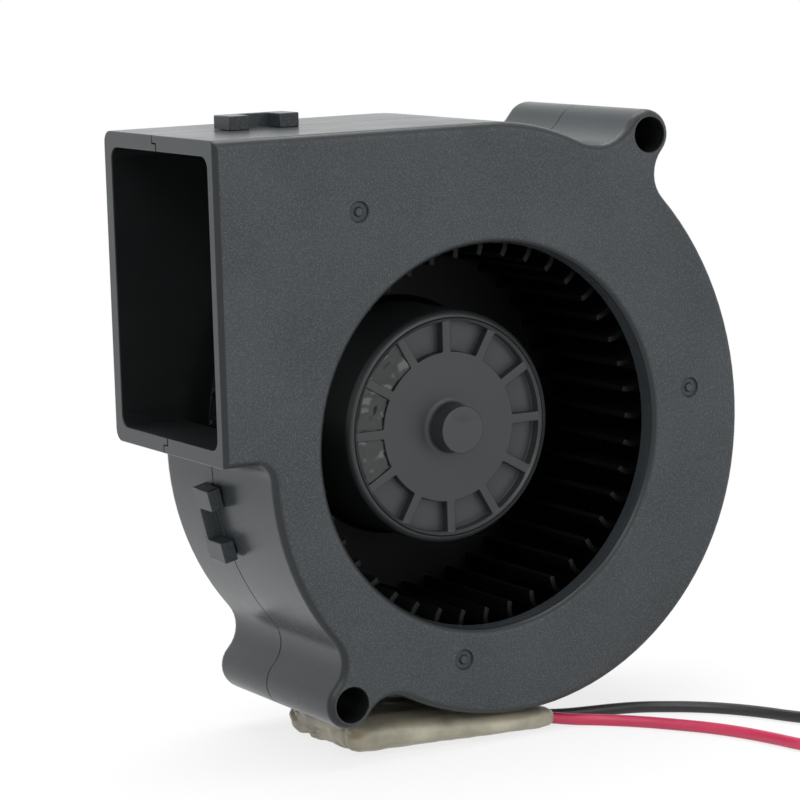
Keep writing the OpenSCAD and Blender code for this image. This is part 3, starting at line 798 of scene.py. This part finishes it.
@dataclass
class Coil:
    """Two neat turns of one lead, one inside the other, on one level.

    Attributes:
        centre: Middle of the coil on the floor, in millimetres.
        start: Angle where the first turn begins, in degrees.
        turned: Angle that both turns cover, in degrees.
        level: Height of the lead's middle.
        outer: Radius of the first turn.
        inner: Radius of the second turn.
        shift: Angle over which the lead moves from the first turn to the second.
        step: Angle from one point to the next.
    """

    centre: tuple[float, float]
    start: float
    turned: float
    level: float
    outer: float = 9.4
    inner: float = 7.85
    shift: float = 60.0
    step: float = 15.0

    def point(self, angle: float, radius: float, height: float) -> Point:
        """Finds a point of the coil's own round frame.

        Args:
            angle: Angle round the coil, in degrees.
            radius: Distance from the coil's middle, in millimetres.
            height: Height over the floor.

        Returns:
            The point, in millimetres.
        """
        turn = math.radians(angle)
        x = self.centre[0] + radius * math.cos(turn)
        return (x, self.centre[1] + radius * math.sin(turn), height)

    def turns(self) -> list[Point]:
        """Lays both turns.

        Returns:
            Their points in millimetres, one for each step of angle.
        """
        points = []
        for i in range(int(self.turned / self.step) + 1):
            angle = i * self.step
            share = min(1.0, max(0.0, (angle - 360 + self.shift) / self.shift))
            eased = share * share * (3 - 2 * share)
            radius = self.outer + (self.inner - self.outer) * eased
            points.append(self.point(self.start + angle, radius, self.level))
        return points


@dataclass
class Tie:
    """Nylon tie round the coil: a squared band with its small head, in millimetres.

    Attributes:
        centre: Middle of the coil on the floor.
        half_length: Half of the band's length across the coil.
        width: Width of the band.
        wall: Thickness of the band.
        squareness: 2 for a round band, more for a squarer one.
        segments: Points round the band.
        head_room: How far the band stays under the top of the CAD tie.
        floor_gap: How far the band stays off the floor and off that top.
        head: Size of the head.
        head_rise: How far the head sits above the band's middle.
        head_edge: Width of the head's broken edges.
    """

    centre: tuple[float, float]
    half_length: float = 1.95
    width: float = 1.6
    wall: float = 0.25
    squareness: float = 4.0
    segments: int = 32
    head_room: float = 0.1
    floor_gap: float = 0.05
    head: Point = (1.1, 2.0, 1.7)
    head_rise: float = 0.4
    head_edge: float = 0.2

    def band(self, bm: bmesh.types.BMesh, top: float) -> None:
        """Bends a strip round the leads.

        Args:
            bm: The bmesh that gets the band.
            top: Height of the tie, in metres.
        """
        bmesh.ops.create_circle(bm, segments=self.segments, radius=1.0)
        for vert in bm.verts:
            angle = math.atan2(vert.co.y, vert.co.x)
            x = self.half_length * MM * squared(math.cos(angle), self.squareness)
            z = top / 2 + (top / 2 - self.floor_gap * MM) * squared(math.sin(angle), self.squareness)
            vert.co = Vector((x, -self.width / 2 * MM, z))
        made = bmesh.ops.extrude_edge_only(bm, edges=bm.edges[:])
        new = [item for item in made["geom"] if isinstance(item, bmesh.types.BMVert)]
        bmesh.ops.translate(bm, verts=new, vec=(0, self.width * MM, 0))
        bmesh.ops.recalc_face_normals(bm, faces=bm.faces)
        bmesh.ops.solidify(bm, geom=bm.faces[:], thickness=self.wall * MM)

    def block(self, bm: bmesh.types.BMesh, top: float) -> None:
        """Sets the head on the outer end of the band.

        Args:
            bm: The bmesh that gets the head.
            top: Height of the tie, in metres.
        """
        place = ((self.half_length - self.wall) * MM, 0, top / 2 + self.head_rise * MM)
        head = bmesh.ops.create_cube(bm, size=1.0)["verts"]
        bmesh.ops.scale(bm, verts=head, vec=Vector(self.head) * MM)
        bmesh.ops.translate(bm, verts=head, vec=place)
        edges = edges_among(bm, head)
        width = self.head_edge * MM
        bmesh.ops.bevel(
            bm, geom=edges, offset=width, segments=2, profile=0.5, material=-1, affect="EDGES"
        )

    def build(self, paint: Paint) -> bpy.types.Object:
        """Makes the tie where the CAD tie is, with its head away from the coil's middle.

        Args:
            paint: Maker of materials.

        Returns:
            The tie, riding on the housing.
        """
        low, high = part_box("coil_tie")
        middle = (low + high) / 2
        out = Vector((middle.x - self.centre[0] * MM, middle.y - self.centre[1] * MM, 0)).normalized()
        turn = Matrix.Rotation(math.atan2(out.y, out.x), 3, "Z")
        top = high.z - self.head_room * MM
        bm = bmesh.new()
        self.band(bm, top)
        self.block(bm, top)
        bmesh.ops.rotate(bm, verts=bm.verts, cent=(0, 0, 0), matrix=turn)
        bmesh.ops.translate(bm, verts=bm.verts, vec=(middle.x, middle.y, 0))
        piece = from_bmesh("coil_band", bm)
        crisp(piece, 0.0)
        paint.put(piece, TIE)
        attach(piece, HOUSING)
        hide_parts("coil_tie")
        return piece


@dataclass
class Leads:
    """The red and the black lead from the taped bundle to the connector, in millimetres.

    Attributes:
        diameter: Thickness of each lead.
        centre: Middle of the coil on the floor.
        plug_edge: Width of the connector's broken edges.
        red_route: The red lead from the bundle to the coil.
        black_route: The black lead from the bundle to the coil.
    """

    diameter: float = 1.5
    centre: tuple[float, float] = (49.0, -36.0)
    plug_edge: float = 0.15
    red_route: list[Point] = field(default_factory=lambda: [
        (9, -12.2, 1.3), (12, -13.6, 0.9), (14.8, -15.4, 0.75), (18.3, -19.2, 0.75),
        (21.4, -23.6, 0.75), (23.7, -27.4, 0.75), (25.4, -31.3, 0.75), (26.8, -36, 0.75),
        (28, -41, 0.75), (30.2, -45.6, 0.75), (33.8, -48.6, 0.75), (38.4, -49.6, 0.75),
        (43.6, -49, 0.75), (48.6, -47.4, 0.75),
    ])
    black_route: list[Point] = field(default_factory=lambda: [
        (9, -10.4, 1.3), (12.4, -10.5, 0.9), (15.8, -10.9, 0.75), (19.2, -11.7, 0.75),
        (22.7, -13, 0.75), (26, -15.2, 0.75), (28.6, -17.4, 0.75), (30.8, -19.9, 0.75),
        (32.6, -22.6, 0.75), (34.1, -25.4, 0.75), (35.4, -28.4, 0.75), (36.6, -31.4, 0.9),
        (37.5, -34.4, 1.5), (38.2, -37, 2.2),
    ])

    def red_points(self) -> list[Point]:
        """Works out the red lead's route.

        Returns:
            Points in millimetres: floor, lower level of the coil, up inside it, plug.
        """
        coil = Coil(self.centre, start=300.0, turned=645.0, level=0.8)
        rise = [
            (245, 7.5, 0.8), (262, 7.0, 0.8), (280, 6.4, 0.8), (298, 6.15, 1.1), (315, 6.1, 1.6),
            (340, 5.4, 2.5), (5, 5.3, 3.4), (28, 6.2, 3.95), (44, 8.2, 4.0), (54, 10.4, 3.9),
        ]
        end = [(55.6, -25.6, 3.1), (55.75, -24.2, 2.6), (55.75, -23.4, 2.6)]
        return self.red_route + coil.turns() + [coil.point(*p) for p in rise] + end

    def black_points(self) -> list[Point]:
        """Works out the black lead's route.

        Returns:
            Points in millimetres: floor, upper level of the coil, over it, plug.
        """
        coil = Coil(self.centre, start=205.0, turned=660.0, level=2.4)
        over = [
            (160, 7.55, 2.7), (175, 7.3, 3.3), (190, 7.5, 3.8), (205, 7.8, 3.95), (220, 8.1, 4.0),
            (240, 8.5, 4.0), (260, 8.6, 4.0), (285, 8.6, 4.0), (310, 8.6, 4.0), (335, 8.6, 4.0),
            (0, 8.7, 4.0), (20, 9.2, 4.0), (34, 10.6, 3.8), (43, 12.2, 3.2),
        ]
        end = [(58.2, -26, 2.9), (58.25, -24.4, 2.6), (58.25, -23.4, 2.6)]
        return self.black_route + coil.turns() + [coil.point(*p) for p in over] + end

    def wire(
        self, name: str, points: list[Point], finish: Finish, paint: Paint
    ) -> bpy.types.Object:
        """Makes one lead as a round curve through its points.

        Args:
            name: The piece's name.
            points: The route in millimetres.
            finish: The insulation's finish.
            paint: Maker of materials.

        Returns:
            The curve, riding on the housing.
        """
        curve = bpy.data.curves.new(name, "CURVE")
        curve.dimensions = "3D"
        curve.bevel_depth = self.diameter / 2 * MM
        curve.bevel_resolution = 5
        curve.resolution_u = 5
        curve.use_fill_caps = True
        spline = curve.splines.new("BEZIER")
        spline.bezier_points.add(len(points) - 1)
        for knot, place in zip(spline.bezier_points, metres(points)):
            knot.co = place
            knot.handle_left_type = knot.handle_right_type = "AUTO"
        piece = linked(name, curve)
        paint.put(piece, finish)
        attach(piece, HOUSING)
        return piece

    def plug(self, paint: Paint) -> bpy.types.Object:
        """Makes the connector's housing with rounded edges.

        Args:
            paint: Maker of materials.

        Returns:
            The housing of the connector, riding on the blower's housing.
        """
        piece = from_bmesh("connector_body", copy_of("plug_housing"))
        crisp(piece, self.plug_edge)
        paint.put(piece, PLUG)
        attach(piece, HOUSING)
        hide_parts("plug_housing")
        return piece

    def build(self, paint: Paint) -> None:
        """Args:
            paint: Maker of materials.
        """
        tie = Tie(self.centre).build(paint)
        plug = self.plug(paint)
        red = self.wire("red_wire", self.red_points(), RED_LEAD, paint)
        black = self.wire("black_wire", self.black_points(), BLACK_LEAD, paint)
        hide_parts("red_lead", "red_coil")
        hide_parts("black_lead", "black_coil")
        log.info("leads, tie and connector ready")


# --- Taped bundle ------------------------------------------------------------


@dataclass(frozen=True)
class Station:
    """One cross-section of the bundle, in millimetres.

    Attributes:
        x: Where the section stands along the bundle.
        middle: The Y of its middle.
        half_width: Half of its width.
        low: Height of its underside.
        high: Height of its top.
    """

    x: float
    middle: float
    half_width: float
    low: float
    high: float


@dataclass(frozen=True)
class Crease:
    """A crease in the folded end: a line in the Y-Z plane.

    The paper stands further out above the line than below it, with a groove along it.

    Attributes:
        y: Y of a point on the line, in millimetres.
        z: Height of that point.
        rise_deg: How steeply the line rises towards +Y.
        step_mm: How much further out the paper above the line stands.
        groove_mm: Depth of the groove.
        width_mm: Width of the step and the groove.
    """

    y: float
    z: float
    rise_deg: float
    step_mm: float
    groove_mm: float
    width_mm: float

    def lift(self, point: Vector) -> float:
        """Works out how far the paper stands out at a point.

        Args:
            point: The point, in millimetres.

        Returns:
            The lift in millimetres, negative in the groove.
        """
        turn = math.radians(self.rise_deg)
        across = (point.z - self.z) * math.cos(turn) - (point.y - self.y) * math.sin(turn)
        share = across / self.width_mm
        return self.step_mm / 2 * math.tanh(share) - self.groove_mm * math.exp(-share * share)


@dataclass
class TapedBundle:
    """Folded leads wrapped lengthwise in paper tape, with one folded end.

    Lengths are in millimetres, and noise scales in waves to the millimetre along X, Y and Z.

    Attributes:
        stations: Cross-sections from the folded end to the end where the leads come out.
        creases: Creases of the folded end.
        fold_from: The X where the creases begin.
        fold_to: The X where they are fully there.
        fold_swell: Share of a crease's lift that also goes outwards in the section.
        sides: Points round one section.
        steps: Sections less one.
        crowding: How much the sections crowd towards both ends.
        squareness: 2 for an oval section, more for a squarer one.
        uprightness: How much more the relief of a flat section points up than out.
        sharp_deg: Folds that turn more than this count as sharp.
        overlap_angle: Angle round the section that the tape's overlap covers.
        overlap_mm: Thickness of that overlap.
        wrinkle_mm: Height of the wrinkles.
        ridge_scale: Scale of the long ridges.
        ridge_share: Their share of the wrinkles.
        wrinkle_scale: Scale of the wrinkles across them.
        wrinkle_start: Where the noise of those starts.
        wrinkle_share: Their share of the wrinkles.
        crumple_mm: Height of the crumples in the folded end.
        crumple_scale: Scale of those crumples.
        crumple_start: Where their noise starts.
        top_mm: Height that no part of the tape passes.
    """

    stations: tuple[Station, ...] = (
        Station(-19.75, -3.2, 6.8, 1.7, 2.3),
        Station(-19.68, -3.1, 7.4, 1.0, 3.2),
        Station(-19.4, -2.9, 8.2, 0.4, 3.9),
        Station(-18.6, -2.6, 9.0, 0.1, 4.35),
        Station(-17.2, -2.5, 9.4, 0.0, 4.55),
        Station(-14.0, -2.6, 9.5, 0.0, 4.5),
        Station(-8.0, -3.1, 9.7, 0.0, 4.2),
        Station(-1.0, -3.8, 9.95, 0.0, 3.75),
        Station(3.2, -4.3, 9.8, 0.0, 3.4),
        Station(5.2, -6.6, 7.2, 0.0, 3.15),
        Station(7.2, -9.9, 3.7, 0.05, 2.9),
        Station(8.6, -11.1, 2.2, 0.3, 2.5),
        Station(9.15, -11.2, 1.7, 0.6, 2.2),
    )
    creases: tuple[Crease, ...] = (
        Crease(-9.0, 2.2, 62.0, 0.3, 0.42, 0.4),
        Crease(-4.0, 2.3, -17.0, 0.35, 0.36, 0.26),
        Crease(2.6, 2.0, 24.0, -0.25, 0.32, 0.3),
        Crease(-6.6, 1.2, 12.0, 0.2, 0.2, 0.2),
    )
    fold_from: float = -16.8
    fold_to: float = -18.8
    fold_swell: float = 0.5
    sides: int = 240
    steps: int = 120
    crowding: float = 0.12
    squareness: float = 3.0
    uprightness: float = 2.5
    sharp_deg: float = 55.0
    overlap_angle: float = 196.0
    overlap_mm: float = 0.16
    wrinkle_mm: float = 0.16
    ridge_scale: Point = (0.07, 0.55, 0.9)
    ridge_share: float = 1.3
    wrinkle_scale: Point = (0.6, 0.22, 0.3)
    wrinkle_start: Point = (9.0, 0.0, 0.0)
    wrinkle_share: float = 0.8
    crumple_mm: float = 0.22
    crumple_scale: Point = (0.0, 0.5, 0.8)
    crumple_start: Point = (3.1, 0.0, 0.0)
    top_mm: float = 4.62

    def section(self, x: float) -> Station:
        """Works out the cross-section at any place along the bundle.

        Args:
            x: The place, in millimetres.

        Returns:
            The section, in a straight line between the stations beside it.
        """
        for before, after in zip(self.stations, self.stations[1:]):
            if x <= after.x:
                share = max(0.0, (x - before.x) / (after.x - before.x))
                pairs = zip(astuple(before)[1:], astuple(after)[1:])
                return Station(x, *(low + (high - low) * share for low, high in pairs))
        return self.stations[-1]

    def rim(self, station: Station, angle: float) -> Vector:
        """Finds a point of the smooth surface.

        Args:
            station: The section that the point lies on.
            angle: Its angle round the section, in radians.

        Returns:
            The point, in millimetres.
        """
        y = station.middle + station.half_width * squared(math.cos(angle), self.squareness)
        half = (station.high - station.low) / 2
        z = station.low + half * (1 + squared(math.sin(angle), self.squareness))
        return Vector((station.x, y, z))

    def relief(self, point: Vector, angle: float) -> float:
        """Works out how far the paper stands off the smooth surface.

        Args:
            point: The smooth surface point, in millimetres.
            angle: Its angle round the section, in radians.

        Returns:
            The offset in millimetres, negative in a hollow.
        """
        ridges = self.ridge_share * noise_at(point, self.ridge_scale)
        wrinkles = self.wrinkle_share * noise_at(point, self.wrinkle_scale, self.wrinkle_start)
        offset = self.wrinkle_mm * (ridges + wrinkles)
        if math.degrees(angle) % 360 < self.overlap_angle:
            offset += self.overlap_mm
        return offset

    def end_lift(self, point: Vector) -> float:
        """Works out how far the creases push the folded end outwards.

        Args:
            point: The smooth surface point, in millimetres.

        Returns:
            The lift in millimetres, 0 outside the folded end.
        """
        share = (self.fold_from - point.x) / (self.fold_from - self.fold_to)
        crumple = self.crumple_mm * noise_at(point, self.crumple_scale, self.crumple_start)
        return max(0.0, min(1.0, share)) * (crumple + sum(crease.lift(point) for crease in self.creases))

    def build(self, paint: Paint) -> None:
        """Extrudes a ring along the bundle, shapes each section and closes both ends.

        Args:
            paint: Maker of materials.
        """
        bm = bmesh.new()
        ring = bmesh.ops.create_circle(bm, segments=self.sides, radius=1.0)["verts"]
        first = self.stations[0].x
        span = self.stations[-1].x - first
        rings = [ring]
        for _ in range(self.steps):
            made = bmesh.ops.extrude_edge_only(bm, edges=edges_among(bm, rings[-1]))["geom"]
            rings.append([item for item in made if isinstance(item, bmesh.types.BMVert)])
        for i, verts in enumerate(rings):
            t = i / self.steps
            eased = t - self.crowding * math.sin(2 * math.pi * t)
            self.shape(verts, self.section(first + span * eased))
        for end in (rings[0], rings[-1]):
            cap = bmesh.ops.edgeloop_fill(bm, edges=edges_among(bm, end))["faces"]
            bmesh.ops.triangulate(bm, faces=cap)
        piece = from_bmesh("tape_wrap", bm)
        piece.data.set_sharp_from_angle(angle=math.radians(self.sharp_deg))
        paint.put(piece, TAPE)
        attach(piece, HOUSING)
        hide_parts("lead_bundle")
        log.info("taped bundle ready: %d vertices", len(piece.data.vertices))

    def shape(self, verts: list[bmesh.types.BMVert], station: Station) -> None:
        """Puts one ring on its section, with the paper's relief.

        Args:
            verts: The ring's vertices, on a circle.
            station: The section.
        """
        centre_z = (station.low + station.high) / 2
        for vert in verts:
            angle = math.atan2(vert.co.y, vert.co.x)
            smooth = self.rim(station, angle)
            rise = (smooth.z - centre_z) * self.uprightness
            out = Vector((0, smooth.y - station.middle, rise)).normalized()
            place = smooth + out * self.relief(smooth, angle)
            lift = self.end_lift(smooth)
            place += Vector((-lift, 0, 0)) + out * lift * self.fold_swell
            place.z = min(max(0.0, place.z), self.top_mm)
            vert.co = place * MM


# --- Casing ------------------------------------------------------------------


@dataclass
class Casing:
    """Front cover and rear shell, moulded and snapped together.

    Lengths are in millimetres, and heights are over the impeller's axis. An arc of the scroll's
    wall is the X and the height of its centre, and its radius.

    Attributes:
        edge_mm: Width of the broken edges.
        sharp_deg: Edges that turn more than this are broken.
        corner_mm: Radius of the duct's inner corners at the outlet.
        corner_reach: How far from the outlet such a corner starts at most.
        corner_slack: How far it may lie from the inner depth.
        corner_share: Share of its length that runs along X at least.
        inner_half_depth: Half of the depth between the inner walls.
        bore_skin_mm: How far outside a screw hole's radius its wall may lie.
        bore_half_depth: Half of the depth over which a screw hole's wall gets painted shade.
        outlet_x: Where the duct ends.
        rim_mm: Depth of the outlet's rim, which looks like the outside.
        throat_mm: Radius of the rounded inlet, which looks like the outside.
        duct_floor: Height of the duct's floor.
        duct_roof: Height of its roof.
        duct_end: The X where it runs into the scroll.
        low_arc: Arc of the scroll's lower wall.
        high_arc: Arc of its upper wall.
        crest_arc: Arc that rounds the upper wall into the duct's roof.
        pieces: Each CAD node and the name of its piece.
    """

    edge_mm: float = 0.13
    sharp_deg: float = 34.0
    corner_mm: float = 1.5
    corner_reach: float = 5.0
    corner_slack: float = 0.15
    corner_share: float = 0.9
    inner_half_depth: float = 13.05
    bore_skin_mm: float = 0.06
    bore_half_depth: float = 14.6
    outlet_x: float = -37.87
    rim_mm: float = 0.05
    throat_mm: float = 25.6
    duct_floor: float = 1.95
    duct_roof: float = 37.4
    duct_end: float = 5.0
    low_arc: tuple[float, float, float] = (3.2, -1.3, 32.65)
    high_arc: tuple[float, float, float] = (-3.7, 0.0, 39.7)
    crest_arc: tuple[float, float, float] = (0.5, 7.35, 30.1)
    pieces: tuple[tuple[str, str], ...] = (
        ("front_cover", "cover_moulding"),
        ("rear_shell", "shell_moulding"),
    )

    def in_bore(self, place: Vector) -> bool:
        """Tells whether a place lies on the wall of a lug's screw hole, where shade is painted.

        Args:
            place: Middle of a face, in metres.

        Returns:
            True on such a wall.
        """
        outside = [
            math.hypot(place.x - hole["pos_m"][0], place.z - hole["pos_m"][2]) / MM - hole["dims"]["r_mm"]
            for hole in SCREW_HOLES
        ]
        return min(outside) < self.bore_skin_mm and abs(place.y) / MM < self.bore_half_depth

    def inside(self, place: Vector) -> bool:
        """Tells whether a place lies in the duct or the scroll, behind the rim and the throat, where shade
        is painted.

        Args:
            place: Middle of a face, in metres.

        Returns:
            True on an inner wall.
        """
        x = place.x / MM
        up = (place.z - AXIS_Z) / MM
        low, high, crest = (
            math.dist((x, up), arc[:2]) < arc[2] for arc in (self.low_arc, self.high_arc, self.crest_arc)
        )
        duct = x < self.duct_end and self.duct_floor < up < self.duct_roof
        deep = abs(place.y / MM) < self.inner_half_depth and x > self.outlet_x + self.rim_mm
        throat = place.y < 0 and math.hypot(x, up) < self.throat_mm
        return deep and not throat and (duct or low or (high and crest))

    def duct_corner(self, edge: bmesh.types.BMEdge) -> bool:
        """Tells whether an edge is an inner corner of the duct that starts at the outlet.

        Args:
            edge: An edge of the casing, in metres.

        Returns:
            True for such a corner.
        """
        ends = [vert.co / MM for vert in edge.verts]
        lengthwise = abs(ends[0].x - ends[1].x) * MM > self.corner_share * edge.calc_length()
        deep = all(abs(abs(end.y) - self.inner_half_depth) < self.corner_slack for end in ends)
        outermost = min(end.x for end in ends) < self.outlet_x + self.corner_reach
        return lengthwise and deep and outermost and not edge.is_convex

    def build(self, paint: Paint) -> None:
        """Copies each shell, breaks its edges, gives it the grained plastic and paints shade on its inner
        walls and screw holes.

        Args:
            paint: Maker of materials.
        """
        for node, name in self.pieces:
            bm = copy_of(node)
            join_flats(bm)
            corners = [edge for edge in bm.edges if self.duct_corner(edge)]
            radius = self.corner_mm * MM
            bmesh.ops.bevel(
                bm, geom=corners, offset=radius, segments=6, profile=0.5, material=-1, affect="EDGES"
            )
            piece = from_bmesh(name, bm)
            crisp(piece, self.edge_mm, self.sharp_deg)
            paint.put(piece, CASING)
            # Painted shade: faces on the inner walls and in the screw holes get the near-black copy of the
            # plastic.
            piece.data.materials.append(paint.material(DUCT_SHADE))
            for face in piece.data.polygons:
                face.material_index = int(self.inside(face.center) or self.in_bore(face.center))
            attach(piece, HOUSING)
            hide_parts(node)
            log.info("%s ready: %d faces", name, len(piece.data.polygons))


# --- Rotor -------------------------------------------------------------------


@dataclass
class Wheel:
    """Forward-curved impeller with its hub, and the putty that balances it.

    Attributes:
        edge_mm: Width of the impeller's broken edges.
        sharp_deg: Edges that turn more than this are broken.
        hub_mm: Radius of the hub; all that lies further out gets painted shade.
        putty_cuts: Cuts along each of the putty's edges, for its lumps.
        putty_sharp_deg: The putty's edges that turn more than this count as sharp.
        lump_mm: Height of a lump.
        lump_scale: Lumps to the metre.
        dent_scale: Small dents to the metre.
        dent_share: Height of a dent as a share of a lump's.
        lump_gain: How steep the lumps are.
        lump_range: Deepest hollow and highest lump as shares of a lump's height.
    """

    edge_mm: float = 0.12
    sharp_deg: float = 34.0
    hub_mm: float = 15.15
    putty_cuts: int = 9
    putty_sharp_deg: float = 50.0
    lump_mm: float = 0.36
    lump_scale: float = 330.0
    dent_scale: float = 900.0
    dent_share: float = 0.25
    lump_gain: float = 1.6
    lump_range: Range = (-0.6, 1.0)

    def impeller(self, paint: Paint) -> None:
        """Copies the impeller, breaks its edges, gives the hub its plastic and paints the blades darker as
        shade.

        Args:
            paint: Maker of materials.
        """
        piece = from_bmesh("wheel_moulding", copy_of("impeller"))
        crisp(piece, self.edge_mm, self.sharp_deg)
        paint.put(piece, WHEEL)
        # Painted shade: all faces outside the hub get the darker copy of the plastic.
        piece.data.materials.append(paint.material(BLADE_SHADE))
        for face in piece.data.polygons:
            reach = math.hypot(face.center.x, face.center.z - AXIS_Z)
            face.material_index = int(reach > self.hub_mm * MM)
        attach(piece, ROTOR)
        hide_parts("impeller")
        log.info("impeller ready: %d faces", len(piece.data.polygons))

    def putty(self, paint: Paint) -> None:
        """Presses uneven putty into its pockets: the face towards the inlet is lumpy.

        Args:
            paint: Maker of materials.
        """
        bm = copy_of("balance_putty")
        bmesh.ops.subdivide_edges(bm, edges=bm.edges[:], cuts=self.putty_cuts, use_grid_fill=True)
        bmesh.ops.triangulate(bm, faces=bm.faces[:])
        front = min(vert.co.y for vert in bm.verts)
        hollow, crest = self.lump_range
        for vert in bm.verts:
            if vert.co.y < front + MICRON:
                dent = self.dent_share * noise.noise(vert.co * self.dent_scale)
                lump = self.lump_gain * (noise.noise(vert.co * self.lump_scale) + dent)
                vert.co.y -= self.lump_mm * MM * max(hollow, min(crest, lump))
        piece = from_bmesh("putty_dabs", bm)
        crisp(piece, 0.0, self.putty_sharp_deg)
        paint.put(piece, PUTTY)
        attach(piece, ROTOR)
        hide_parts("balance_putty")
        log.info("balance putty ready")

    def build(self, paint: Paint) -> None:
        """Builds the impeller and its putty.

        Args:
            paint: Maker of materials.
        """
        self.impeller(paint)
        self.putty(paint)


@dataclass
class Motor:
    """The motor's own parts, which keep their CAD shapes.

    Attributes:
        finishes: The finish of each CAD node.
    """

    finishes: dict[str, Finish] = field(default_factory=lambda: dict(NODE_FINISHES))

    def build(self, paint: Paint) -> None:
        """Gives each part its finish.

        Args:
            paint: Maker of materials.
        """
        for node, finish in self.finishes.items():
            paint.put(frame["nodes"][node], finish)
        log.info("%d motor and lead parts finished", len(self.finishes))


def main() -> None:
    """Builds the studio and every sub-assembly in order."""
    logging.basicConfig(level=logging.INFO, format="%(name)s: %(message)s")
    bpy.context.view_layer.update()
    paint = Paint()
    Studio().build()
    Leads().build(paint)
    TapedBundle().build(paint)
    Casing().build(paint)
    Wheel().build(paint)
    Motor().build(paint)


if __name__ == "__main__":
    main()
